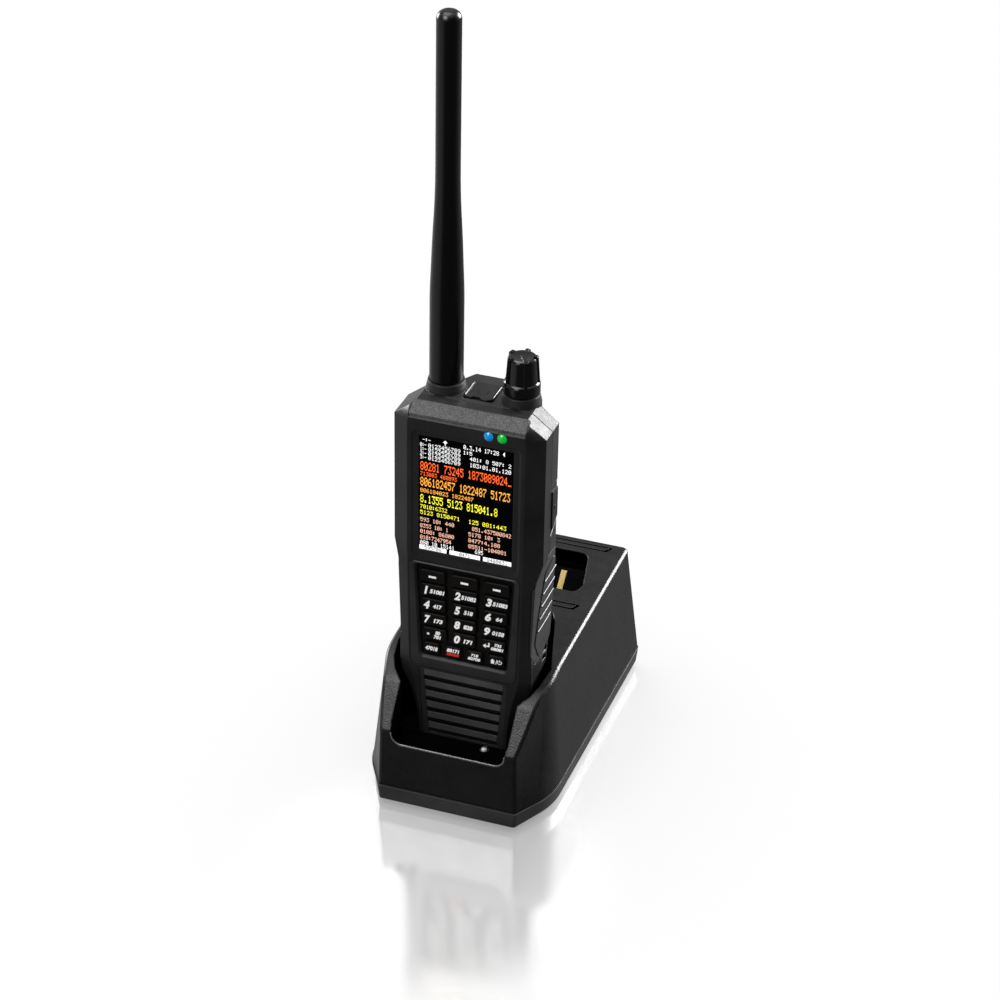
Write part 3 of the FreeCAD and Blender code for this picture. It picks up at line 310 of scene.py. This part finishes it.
# Light grey for thin strips laid on edges in place of their highlights: painted highlight.
painted_highlight = plastic("painted_highlight", (0.75, 0.75, 0.755), rough=0.35, specular=0.5, grain=0.05, edge=0.05)
ink_white = print_ink("ink_white", (0.75, 0.75, 0.75))
ink_red = print_ink("ink_red", (0.55, 0.02, 0.02))
ink_dark = print_ink("ink_dark", (0.002, 0.002, 0.002))
# The lip bead is a real rounded rim, but its grey is far lighter than the cradle's black: partly painted
# highlight.
bead_gloss_painted_highlight = plastic("bead_gloss_painted_highlight", (0.1, 0.1, 0.101), rough=0.28, specular=0.8, grain=0.1, edge=0.05)
pixel = {
    "white": lit_pixels("pixel_white", (0.85, 0.85, 0.85)),
    "red": lit_pixels("pixel_red", (0.95, 0.14, 0.03)),
    "orange": lit_pixels("pixel_orange", (0.95, 0.42, 0.06)),
    "yellow": lit_pixels("pixel_yellow", (0.9, 0.85, 0.05)),
    "salmon": lit_pixels("pixel_salmon", (0.85, 0.48, 0.36)),
    "black": lit_pixels("pixel_black", (0.0003, 0.0003, 0.0003), 0.0),
}

NODE_MATERIALS = {
    "front_case": case_black, "rear_case": rear_black, "case_seal": seal_black, "top_band": band_grey,
    "display_window": window_glass, "lcd_panel": panel_black, "keypad_frame": frame_black,
    "keypad_plate": plate_brown, "keypad_mat": seal_black, "speaker_grille": grille_grey,
    "speaker": cone_black, "main_board": board_green, "encoder": plated_steel,
    "encoder_plunger": inner_black, "encoder_shaft": shaft_metal, "knob": knob_gloss,
    "antenna_jack": contact_gold, "antenna_connector": contact_gold, "antenna": antenna_gloss,
    "headphone_jack": inner_black, "headphone_flap": flap_black, "port_cover": flap_black,
    "usb_socket": plated_steel, "case_screws": plated_steel, "battery_case": battery_black,
    "battery_lid": battery_black, "battery_cells": cell_blue, "battery_pads": contact_gold,
    "battery_latch": frame_black, "led_blue": lens_blue, "led_green": lens_green,
    "side_grips": grip_grey, "cradle_housing": cradle_black, "cradle_base": base_black,
    "cradle_board": board_green, "charge_led": inner_black, "bay_contacts": contact_gold,
    "well_contacts": contact_gold, "dc_jack": inner_black, "cradle_feet": foot_black,
    "cradle_screws": plated_steel,
}
for key in KEYS:
    NODE_MATERIALS[key] = key_black
for name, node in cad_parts.items():
    node.data.materials.clear()
    node.data.materials.append(NODE_MATERIALS[name])


# ---------------------------------------------------------------- mesh helpers
BLOCK_FACES = [(0, 3, 2, 1), (4, 5, 6, 7), (0, 1, 5, 4), (1, 2, 6, 5), (2, 3, 7, 6), (3, 0, 4, 7)]
STRIP_FACES = [(0, 2, 3, 1), (4, 5, 7, 6), (0, 4, 6, 2), (1, 3, 7, 5), (0, 1, 5, 4), (2, 6, 7, 3)]


class Shape:
    """Collects faces in millimetres of the radio or the cradle, then becomes one piece."""

    def __init__(self):
        self.points = []
        self.faces = []

    def add(self, points, faces):
        start = len(self.points)
        self.points += [Vector(point) for point in points]
        self.faces += [tuple(start + index for index in face) for face in faces]

    def slab(self, outline, front, back):
        """Prism with an (x, z) outline, counter-clockwise from the front, between two y depths."""
        count = len(outline)
        points = [(x, front, z) for x, z in outline] + [(x, back, z) for x, z in outline]
        faces = [tuple(range(count)), tuple(reversed(range(count, 2 * count)))]
        for index in range(count):
            following = (index + 1) % count
            faces.append((following, index, index + count, following + count))
        self.add(points, faces)

    def bar(self, x0, x1, z0, z1, front, back, slant=0.0):
        lean = slant * (z1 - z0)
        self.slab([(x0, z0), (x1, z0), (x1 + lean, z1), (x0 + lean, z1)], front, back)

    def piece(self, name, body, finish, slot, place=RADIO):
        mesh = bpy.data.meshes.new(name)
        mesh.from_pydata([place @ point for point in self.points], [], self.faces)
        mesh.update()
        mesh.materials.append(finish)
        piece = bpy.data.objects.new(name, mesh)
        bpy.context.scene.collection.objects.link(piece)
        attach(piece, body)


def tube(name, path, radius, body, finish, place):
    """Round bead that follows an open path."""
    curve = bpy.data.curves.new(name, "CURVE")
    curve.dimensions = "3D"
    curve.bevel_depth = radius * MM
    curve.bevel_resolution = 3
    curve.use_fill_caps = True
    spline = curve.splines.new("POLY")
    spline.points.add(len(path) - 1)
    for point, place_mm in zip(spline.points, path):
        point.co = (*(place @ Vector(place_mm)), 1.0)
    curve.materials.append(finish)
    piece = bpy.data.objects.new(name, curve)
    bpy.context.scene.collection.objects.link(piece)
    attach(piece, body)


# ---------------------------------------------------------------- dot-matrix digits
# Seven rows of five dots for each character.
DIGITS = {
    "0": "01110 10001 10011 10101 11001 10001 01110", "1": "00100 01100 00100 00100 00100 00100 01110",
    "2": "01110 10001 00001 00010 00100 01000 11111", "3": "11111 00010 00100 00010 00001 10001 01110",
    "4": "00010 00110 01010 10010 11111 00010 00010", "5": "11111 10000 11110 00001 00001 10001 01110",
    "6": "00110 01000 10000 11110 10001 10001 01110", "7": "11111 00001 00010 00100 01000 01000 01000",
    "8": "01110 10001 10001 01110 10001 10001 01110", "9": "01110 10001 10001 01111 00001 00010 01100",
    ".": "00000 00000 00000 00000 00000 01100 01100", ":": "00000 01100 01100 00000 01100 01100 00000",
    "-": "00000 00000 00000 11111 00000 00000 00000", "_": "00000 00000 00000 00000 00000 00000 11111",
    "*": "00100 01110 11111 01110 00100 00100 00100", "<": "00001 00011 00111 01111 00111 00011 00001",
}


def write_digits(shape, text, left, right, low, high, front, back):
    """Dot-matrix characters that fill a box, drawn as one strip for each run of lit dots."""
    dot_x = (right - left) / (len(text) * 6 - 1)
    dot_z = (high - low) / 7
    for place, character in enumerate(text):
        if character == " ":
            continue
        x_start = left + place * 6 * dot_x
        for row, dots in enumerate(DIGITS[character].split()):
            column = 0
            while column < 5:
                run = len(dots[column:]) - len(dots[column:].lstrip("1"))
                if run:
                    x = x_start + column * dot_x
                    top = high - row * dot_z
                    shape.bar(x, x + run * dot_x, top - dot_z, top, front, back)
                column += max(run, 1)


# ---------------------------------------------------------------- display
# Colour, text, left, right, low and high edge of each line.  SCREEN is the depth of the lit plane.
SCREEN = 0.50
INK = 0.03
screen_rows = {colour: Shape() for colour in pixel}
ROWS = [
    ("white", "-:-", -17.0, -13.9, 22.1, 23.7), ("white", "*", -9.0, -7.4, 21.9, 24.0),
    ("white", "0.3.14 17:28 <", -1.1, 14.9, 22.0, 23.8), ("white", "1:5", -1.2, 2.3, 19.8, 21.4),
    ("white", "0:-", -18.0, -15.6, 19.9, 21.5), ("white", "0123456789", -14.8, -2.3, 19.9, 21.5),
    ("white", "1:-", -18.0, -15.6, 18.1, 19.7), ("white", "0123456789", -14.8, -2.3, 18.1, 19.7),
    ("white", "2:-", -18.0, -15.6, 16.3, 17.9), ("white", "0123456789", -14.8, -2.3, 16.3, 17.9),
    ("white", "3:-", -18.0, -15.6, 14.6, 16.1), ("white", "0123456789", -14.8, -2.3, 14.6, 16.1),
    ("white", "401: 8 507: 2", 1.4, 17.4, 17.6, 19.2), ("white", "103:01.01.120", 1.4, 17.4, 15.0, 16.7),
    ("red", "80281 73245 1873089024_", -17.9, 17.6, 9.9, 13.5),
    ("red", "713083 480893", -17.9, -3.6, 7.5, 9.2),
    ("orange", "806182457 1822487 51723", -17.9, 17.2, 3.2, 6.8),
    ("orange", "806184023 1822487", -17.9, 3.0, 0.4, 2.1),
    ("yellow", "8.1355 5123 815041.8", -17.9, 12.4, -4.0, -0.6),
    ("yellow", "7010:6332", -17.9, -7.3, -6.6, -4.9), ("yellow", "5123 8150471", -17.9, -2.3, -9.1, -7.4),
    ("yellow", "125 081:443", 1.2, 16.0, -9.3, -7.5),
    ("salmon", "593 10: 440", -17.9, -4.5, -12.2, -10.5), ("salmon", "8353 10: 1", -17.9, -6.8, -14.9, -13.2),
    ("salmon", "0108: 86800", -17.9, -4.5, -17.4, -15.7),
    ("salmon", "010:7247954", -17.9, -5.6, -20.0, -18.2),
    ("salmon", "851.437500842", 2.6, 17.9, -12.1, -10.4), ("salmon", "5178 10: 3", 1.2, 13.6, -14.7, -13.0),
    ("salmon", "8477:4.180", 1.2, 13.6, -17.3, -15.6), ("salmon", "8551:-104081", 1.2, 16.3, -19.9, -18.2),
    ("white", "080 10 15141", -17.9, -4.3, -22.3, -20.5), ("white", "695", 3.9, 7.0, -21.8, -20.1),
]
for colour, text, left, right, low, high in ROWS:
    write_digits(screen_rows[colour], text, left, right, low, high, SCREEN - INK, SCREEN)
SOFT_LABELS = [(-18.2, -7.4, "595708", 2.0), (-6.2, 5.9, "0471", 3.9), (7.1, 18.2, "8488031", 1.5)]
for left, right, text, margin in SOFT_LABELS:
    screen_rows["white"].bar(left, right, -24.3, -22.5, SCREEN - INK, SCREEN)
    write_digits(screen_rows["black"], text, left + margin, right - margin, -24.1, -22.7,
                 SCREEN - 2 * INK, SCREEN - INK)
screen_rows["black"].bar(-18.3, 18.3, -24.4, 24.4, SCREEN, SCREEN + 0.1)
for colour, shape in screen_rows.items():
    shape.piece("screen_" + colour, "radio", pixel[colour], "panel")


# ---------------------------------------------------------------- key legends
KEY_FACE = 0.15
LEGEND_FRONT, LEGEND_BACK = KEY_FACE - 0.03, KEY_FACE + 0.02


def text_piece(shape, text, x, z, width, height, slant=0.22, weight=0.05):
    """Solid italic digits from the built-in font, centred on x and z of a key's face."""
    curve = bpy.data.curves.new("digits", "FONT")
    curve.body = text
    curve.size = 1.0
    curve.shear = slant
    curve.offset = weight
    curve.align_x = "CENTER"
    curve.resolution_u = 4
    writer = bpy.data.objects.new("digits", curve)
    bpy.context.scene.collection.objects.link(writer)
    bpy.context.view_layer.update()
    mesh = bpy.data.meshes.new_from_object(writer.evaluated_get(bpy.context.evaluated_depsgraph_get()))
    lows = min(vertex.co.y for vertex in mesh.vertices)
    highs = max(vertex.co.y for vertex in mesh.vertices)
    left = min(vertex.co.x for vertex in mesh.vertices)
    right = max(vertex.co.x for vertex in mesh.vertices)
    flat = [(x + (vertex.co.x - (left + right) / 2) * width / (right - left),
             z + (vertex.co.y - (lows + highs) / 2) * height / (highs - lows)) for vertex in mesh.vertices]
    for polygon in mesh.polygons:
        shape.slab([flat[index] for index in polygon.vertices], LEGEND_FRONT, LEGEND_BACK)
    bpy.data.objects.remove(writer)


def small_digits(shape, text, x, z, height=1.7):
    text_piece(shape, text, x, z, 1.02 * len(text), height)


def legend_disc(shape, x, z, radius):
    angles = [math.radians(15 * step) for step in range(24)]
    outline = [(x + radius * math.cos(angle), z + radius * math.sin(angle)) for angle in angles]
    shape.slab(outline, LEGEND_FRONT, LEGEND_BACK)


def legend_ring(shape, x, z, inner, outer, start, end):
    """Part of a ring, from one angle to another in degrees."""
    steps = int((end - start) / 15)
    angles = [math.radians(start + (end - start) * step / steps) for step in range(steps + 1)]
    for first, second in zip(angles, angles[1:]):
        corners = [(inner, first), (outer, first), (outer, second), (inner, second)]
        outline = [(x + radius * math.cos(angle), z + radius * math.sin(angle)) for radius, angle in corners]
        shape.slab(outline, LEGEND_FRONT, LEGEND_BACK)


def legend_bar(shape, x0, x1, z0, z1, slant=0.0):
    shape.bar(x0, x1, z0, z1, LEGEND_FRONT, LEGEND_BACK, slant)


def key_centre(name):
    low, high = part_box(name)
    middle = RADIO.inverted() @ ((low + high) / 2)
    return middle.x, middle.z


def print_on_key(shape, key, ink=ink_white, suffix=""):
    shape.piece("legend_" + key + suffix, key, ink, "key_rubber")


for name, digit, marks in [("key_1", "1", "51081"), ("key_2", "2", "51082"), ("key_3", "3", "51083"),
                           ("key_4", "4", "417"), ("key_5", "5", "518"), ("key_6", "6", "64"),
                           ("key_7", "7", "173"), ("key_8", "8", "828"), ("key_9", "9", "0158"),
                           ("key_0", "0", "171")]:
    x, z = key_centre(name)
    legend = Shape()
    text_piece(legend, digit, x - 2.75, z, 1.5 if digit == "1" else 2.5, 3.6)
    text_piece(legend, marks, x + 1.65, z - 0.2, 1.15 * len(marks) + 0.3, 1.9)
    print_on_key(legend, name)
for name in ("key_soft_left", "key_soft_middle", "key_soft_right"):
    x, z = key_centre(name)
    legend = Shape()
    legend_bar(legend, x - 1.5, x + 1.5, z - 0.45, z + 0.45)
    print_on_key(legend, name)

# Decimal point.
x, z = key_centre("key_point")
legend = Shape()
legend_disc(legend, x - 2.6, z, 0.5)
small_digits(legend, "80", x + 1.3, z + 0.95)
small_digits(legend, "781", x + 1.1, z - 0.95)
print_on_key(legend, "key_point")

# Return arrow.
x, z = key_centre("key_enter")
legend = Shape()
legend.slab([(x - 4.2, z - 0.1), (x - 3.0, z - 1.1), (x - 3.0, z + 0.9)], LEGEND_FRONT, LEGEND_BACK)
legend_bar(legend, x - 3.1, x - 1.5, z - 0.38, z + 0.18)
legend_bar(legend, x - 2.0, x - 1.45, z + 0.16, z + 1.5)
small_digits(legend, "735", x + 1.9, z + 1.0, 1.4)
small_digits(legend, "08081", x + 1.6, z - 0.8, 1.5)
print_on_key(legend, "key_enter")

x, z = key_centre("key_avoid")
legend = Shape()
small_digits(legend, "47018", x, z, 1.9)
print_on_key(legend, "key_avoid")

x, z = key_centre("key_record")
legend = Shape()
small_digits(legend, "88171", x, z + 0.85)
print_on_key(legend, "key_record")
legend = Shape()
small_digits(legend, "88088", x - 0.1, z - 0.85, 1.35)
print_on_key(legend, "key_record", ink_red, "_red")

x, z = key_centre("key_menu")
legend = Shape()
small_digits(legend, "718", x + 0.1, z + 0.85, 1.35)
small_digits(legend, "80708", x - 0.1, z - 0.8, 1.4)
print_on_key(legend, "key_menu")

# House, stroke and power mark.
x, z = key_centre("key_power")
legend = Shape()
legend.slab([(x - 2.3, z + 0.1), (x - 0.5, z + 0.1), (x - 1.4, z + 1.2)], LEGEND_FRONT, LEGEND_BACK)
legend_bar(legend, x - 2.0, x - 0.8, z - 1.0, z + 0.15)
legend_bar(legend, x - 0.25, x + 0.05, z - 1.1, z + 1.1, 0.25)
legend_ring(legend, x + 1.4, z, 0.65, 0.95, 125.0, 415.0)
legend_bar(legend, x + 1.25, x + 1.55, z + 0.1, z + 1.15)
print_on_key(legend, "key_power")


# ---------------------------------------------------------------- speaker grille
# Each slat has a face in a lighter grey than the grille, as painted light, and below it a set-back ledge with
# slanting ribs in near black, as painted shade; a thin near-black strip at each slat's top edge is painted
# shade too.
SLAT_COUNT = 6
SLAT_PITCH = 4.8
RIB_PITCH = 0.6
ribs, painted_shade_ledges, painted_lit_slats = Shape(), Shape(), Shape()
for slat in range(SLAT_COUNT):
    top = -77.75 - SLAT_PITCH * slat
    half = 15.7 - 0.4 * slat
    painted_lit_slats.bar(-half - 0.2, half + 0.2, top - 2.74, top - 0.08, 0.05, 0.2)
    painted_shade_ledges.bar(-half, half, top - 4.0, top - 3.03, 0.38, 0.7)
    painted_shade_ledges.bar(-half, half, top - 3.04, top - 2.72, 0.07, 0.5)
    painted_shade_ledges.bar(-half, half, top - 0.02, top + 0.04, 0.22, 1.2)
    x = -half
    while x < half - 0.5:
        ribs.bar(x, x + 0.24, top - 3.95, top - 3.1, 0.24, 0.5, 0.35)
        x += RIB_PITCH
painted_lit_slats.piece("slat_faces_painted_light", "radio", painted_light_slat_grey, "grille_plastic")
ribs.piece("grille_ribs", "radio", flap_black, "grille_plastic")
painted_shade_ledges.piece("grille_ledges_painted_shade", "radio", seal_black, "grille_plastic")


# ---------------------------------------------------------------- headphone mark on the flap, painted highlights on its rails
def flat_ring(shape, x, y, outer, inner, z_low, z_high, start, end):
    """Part of a ring that lies flat, from one angle to another in degrees."""
    steps = 12
    angles = [math.radians(start + (end - start) * step / steps) for step in range(steps + 1)]
    for first, second in zip(angles, angles[1:]):
        rim = [(inner, first), (outer, first), (outer, second), (inner, second)]
        corners = [(x + r * math.cos(a), y - r * math.sin(a)) for r, a in rim]
        shape.add([(cx, cy, z_high) for cx, cy in corners] + [(cx, cy, z_low) for cx, cy in corners],
                  BLOCK_FACES)


def flat_bar(shape, x0, x1, y0, y1, z_low, z_high):
    corners = [(x0, y0), (x1, y0), (x1, y1), (x0, y1)]
    shape.add([(cx, cy, z_low) for cx, cy in corners] + [(cx, cy, z_high) for cx, cy in corners],
              BLOCK_FACES)


FLAP_TOP = 36.28
RAIL_TOP = 36.68
PRINT = 0.05
mark = Shape()
flat_ring(mark, -0.4, 19.0, 2.1, 1.75, FLAP_TOP, FLAP_TOP + PRINT, 180.0, 0.0)
flat_bar(mark, -2.75, -1.75, 18.6, 20.4, FLAP_TOP, FLAP_TOP + PRINT)
flat_bar(mark, 0.95, 1.95, 18.6, 20.4, FLAP_TOP, FLAP_TOP + PRINT)
mark.piece("headphone_mark", "headphone_flap", ink_dark, "flap_rubber")
# Painted highlights: light strips along the edges of the flap's two rails.
rails = Shape()
flat_bar(rails, -5.85, -5.65, 14.7, 24.4, RAIL_TOP, RAIL_TOP + PRINT)
flat_bar(rails, 4.85, 5.05, 15.5, 24.4, RAIL_TOP, RAIL_TOP + PRINT)
rails.piece("flap_rail_painted_highlights", "headphone_flap", painted_highlight, "flap_rubber")


# ---------------------------------------------------------------- painted highlights on edges of the radio's sides
def side_surface(y, z):
    """Half-width of the radio's side at a depth and a height, between -31 and -60."""
    share = (-31.0 - z) / 29.0
    front, back = 27.3 - 1.0 * share, 29.1 - 1.1 * share
    return front + (back - front) * (y - 2.2) / 16.0


GRIP_PROUD = 0.6
RIB_SLOPE = 0.28
# Painted highlights: light strips along the upper edges of the side grips' ribs, on both sides.
edges = Shape()
for index in range(5):
    z_back = -31.1 - 5.1 * index
    y_back, y_front = 18.5 - 0.55 * index, 9.5 - 0.85 * index
    z_front = z_back - RIB_SLOPE * (y_back - y_front)
    for side in (-1, 1):
        corners = []
        for out in (GRIP_PROUD, GRIP_PROUD + 0.2):
            for y, z in ((y_front, z_front), (y_back, z_back)):
                x = side * (side_surface(y, z) + out)
                corners += [(x, y, z - 0.22), (x, y, z + 0.12)]
        edges.add(corners, STRIP_FACES if side > 0 else [tuple(reversed(face)) for face in STRIP_FACES])
edges.piece("grip_rib_painted_highlights", "radio", painted_highlight, "grip_rubber")

# Painted highlight on the slanting edge of the side wall below the port cover, on the right side only: a
# light strip in place of the light that edge catches.
ledge = Shape()
corners = []
for x in (29.46, 29.55):
    for y, z in ((11.6, -14.8), (18.0, -10.1)):
        corners += [(x, y, z - 0.45), (x, y, z)]
ledge.add(corners, STRIP_FACES)
ledge.piece("port_ledge_painted_highlight", "radio", painted_highlight, "case_plastic")


# ---------------------------------------------------------------- bead round the cradle's lip, a real rounded rim in a lighter grey as painted highlight; charge light
LIP_Y = 1.75
CORNER_X, CORNER_Z = 18.8, 33.4
LIP_RADIUS = 4.25
bead = [(23.05, LIP_Y, 34.1)]
for step in range(9):
    turn = math.radians(-90.0 * step / 8)
    bead.append((CORNER_X + LIP_RADIUS * math.cos(turn), LIP_Y, CORNER_Z + LIP_RADIUS * math.sin(turn)))
bead += [(-x, y, z) for x, y, z in reversed(bead)]
tube("lip_bead", bead, 0.36, "cradle", bead_gloss_painted_highlight, CRADLE)

DOME = (11.3, 11.8, 27.4)
DOME_RADIUS = 1.25
dome = Shape()
rings = []
for step in range(6):
    rise = math.radians(90.0 * step / 6)
    reach = DOME_RADIUS * math.cos(rise)
    rings.append([(DOME[0] + reach * math.cos(math.radians(20 * turn)),
                   DOME[1] + reach * math.sin(math.radians(20 * turn)),
                   DOME[2] + DOME_RADIUS * math.sin(rise)) for turn in range(18)])
for lower, upper in zip(rings, rings[1:]):
    for turn in range(18):
        following = (turn + 1) % 18
        dome.add([lower[turn], lower[following], upper[following], upper[turn]], [(0, 1, 2, 3)])
dome.add(rings[-1], [tuple(range(18))])
dome.add(rings[0], [tuple(reversed(range(18)))])
dome.piece("charge_light_dome", "cradle", lens_clear, "lens_clear", CRADLE)


# ---------------------------------------------------------------- studio
# Pale floor.  It is polished just in front of the cradle, where it mirrors it, and matt further out.
FLOOR_SHINE = 2.6
POLISH_CENTRE = (0.005, -0.09, 0.0)
POLISH_INNER, POLISH_OUTER = 0.046, 0.08
floor_mesh = bpy.data.meshes.new("floor")
floor_mesh.from_pydata([(-6, -6, 0), (6, -6, 0), (6, 6, 0), (-6, 6, 0)], [], [(0, 1, 2, 3)])
floor_material, floor_nodes, floor_links, floor_shader = new_material("floor")
floor_nodes.remove(floor_shader)
matt = floor_nodes.new("ShaderNodeBsdfDiffuse")
matt.inputs["Color"].default_value = (0.9, 0.9, 0.9, 1)
polish = floor_nodes.new("ShaderNodeBsdfGlossy")
polish.inputs["Color"].default_value = (FLOOR_SHINE, FLOOR_SHINE, FLOOR_SHINE, 1)
polish.inputs["Roughness"].default_value = 0.13
floor_mix = floor_nodes.new("ShaderNodeMixShader")
reach = floor_nodes.new("ShaderNodeVectorMath")
reach.operation = "DISTANCE"
reach.inputs[1].default_value = POLISH_CENTRE
floor_links.new(object_position(floor_nodes), reach.inputs[0])
sheen = floor_nodes.new("ShaderNodeMapRange")
sheen.interpolation_type = "SMOOTHSTEP"
for socket, number in (("From Min", POLISH_INNER), ("From Max", POLISH_OUTER),
                       ("To Min", 0.48), ("To Max", 0.04)):
    sheen.inputs[socket].default_value = number
floor_links.new(reach.outputs["Value"], sheen.inputs["Value"])
floor_links.new(sheen.outputs["Result"], floor_mix.inputs["Fac"])
floor_links.new(matt.outputs["BSDF"], floor_mix.inputs[1])
floor_links.new(polish.outputs["BSDF"], floor_mix.inputs[2])
floor_links.new(floor_mix.outputs["Shader"], floor_nodes["Material Output"].inputs["Surface"])
floor_mesh.materials.append(floor_material)
floor = bpy.data.objects.new("floor", floor_mesh)
floor.visible_glossy = False
bpy.context.scene.collection.objects.link(floor)

# Soft surroundings: a bright wall behind, a lit ceiling and a dimmer left side.  The camera sees white.
world = bpy.data.worlds.new("studio")
bpy.context.scene.world = world
world.use_nodes = True
w_nodes, w_links = world.node_tree.nodes, world.node_tree.links
background = w_nodes["Background"]
direction = w_nodes.new("ShaderNodeSeparateXYZ")
w_links.new(w_nodes.new("ShaderNodeTexCoord").outputs["Generated"], direction.inputs["Vector"])


def smooth(value, low, high, out_low, out_high):
    """Smooth step from one level to another as a direction's component goes from low to high."""
    node = w_nodes.new("ShaderNodeMapRange")
    node.interpolation_type = "SMOOTHSTEP"
    for socket, number in (("From Min", low), ("From Max", high), ("To Min", out_low), ("To Max", out_high)):
        node.inputs[socket].default_value = number
    w_links.new(value, node.inputs["Value"])
    return node.outputs["Result"]


def combine(operation, first, second):
    node = w_nodes.new("ShaderNodeMath")
    node.operation = operation
    w_links.new(first, node.inputs[0])
    w_links.new(second, node.inputs[1])
    return node.outputs["Value"]


back_wall = smooth(direction.outputs["Y"], -0.1, 0.6, 0.0, 0.32)
above = smooth(direction.outputs["Z"], -0.05, 0.2, 0.0, 1.0)
overhead = smooth(direction.outputs["Z"], 0.62, 0.92, 0.0, 0.7)
left_side = combine("MULTIPLY", smooth(direction.outputs["X"], -0.22, -0.6, 0.0, 0.36),
                    smooth(direction.outputs["Z"], 0.0, 0.4, 1.0, 0.3))
sweep = combine("MULTIPLY", back_wall, above)
low_back = combine("MULTIPLY", smooth(direction.outputs["Y"], -0.1, 0.6, 0.0, 0.16),
                   smooth(direction.outputs["Z"], -0.05, 0.1, 1.0, 0.0))
total = combine("ADD", combine("ADD", sweep, overhead), combine("ADD", left_side, low_back))
with_fill = w_nodes.new("ShaderNodeMath")
with_fill.operation = "ADD"
with_fill.inputs[1].default_value = 0.07
w_links.new(total, with_fill.inputs[0])
light_path = w_nodes.new("ShaderNodeLightPath")
seen = w_nodes.new("ShaderNodeMix")
seen.data_type = "FLOAT"
w_links.new(light_path.outputs["Is Camera Ray"], seen.inputs[0])
w_links.new(with_fill.outputs["Value"], seen.inputs[2])
seen.inputs[3].default_value = 1.0
w_links.new(seen.outputs[0], background.inputs["Color"])
background.inputs["Strength"].default_value = 1.0

# The soft lights leave the floor alone, and the floor's own light reaches nothing else.
floor_only = bpy.data.collections.new("floor_only")
floor_only.objects.link(floor)
not_floor = bpy.data.collections.new("not_floor")
not_floor.objects.link(floor)
not_floor.collection_objects[0].light_linking.link_state = "EXCLUDE"


def softbox(name, place, target, width, height, power):
    """Large soft light on the object; the floor has its own even light."""
    light = bpy.data.lights.new(name, "AREA")
    light.shape = "RECTANGLE"
    light.size, light.size_y = width, height
    light.energy = power
    lamp = bpy.data.objects.new(name, light)
    lamp.location = place
    lamp.rotation_mode = "QUATERNION"
    lamp.rotation_quaternion = (Vector(target) - Vector(place)).to_track_quat("-Z", "Y")
    bpy.context.scene.collection.objects.link(lamp)
    lamp.light_linking.receiver_collection = not_floor


softbox("top_light", (-0.35, 0.1, 1.6), (0, 0, 0.1), 1.2, 1.0, 12.0)
softbox("right_back_light", (1.15, 1.6, 0.75), (0, 0, 0.1), 1.0, 1.0, 130.0)
softbox("left_light", (-1.5, 0.6, 0.42), (0, 0, 0.06), 0.8, 0.8, 26.0)
softbox("high_front_light", (-0.45, -0.85, 1.25), (0, 0, 0.1), 0.6, 0.6, 12.0)
softbox("front_light", (-0.5, -1.6, 1.1), (0, 0, 0.12), 0.9, 0.7, 4.0)
sun = bpy.data.lights.new("floor_light", "SUN")
sun.energy = 1.98
sun_lamp = bpy.data.objects.new("floor_light", sun)
sun_lamp.visible_glossy = False
bpy.context.scene.collection.objects.link(sun_lamp)
sun_lamp.light_linking.receiver_collection = floor_only
sun_lamp.light_linking.blocker_collection = floor_only

camera_data = bpy.data.cameras.new("camera")
camera_data.lens = 108.908
camera_data.sensor_width = 36.0
camera_data.clip_start, camera_data.clip_end = 0.05, 30.0
camera = bpy.data.objects.new("camera", camera_data)
azimuth, elevation = math.radians(19.641), math.radians(33.441)
towards = Vector((math.sin(azimuth) * math.cos(elevation), -math.cos(azimuth) * math.cos(elevation),
                  math.sin(elevation)))
camera.location = (0.32415, -0.90705, 0.74542)
camera.rotation_mode = "QUATERNION"
camera.rotation_quaternion = (-towards).to_track_quat("-Z", "Y")
bpy.context.scene.collection.objects.link(camera)
bpy.context.scene.camera = camera
bpy.context.scene.view_settings.view_transform = "Standard"
bpy.context.scene.view_settings.look = "None"
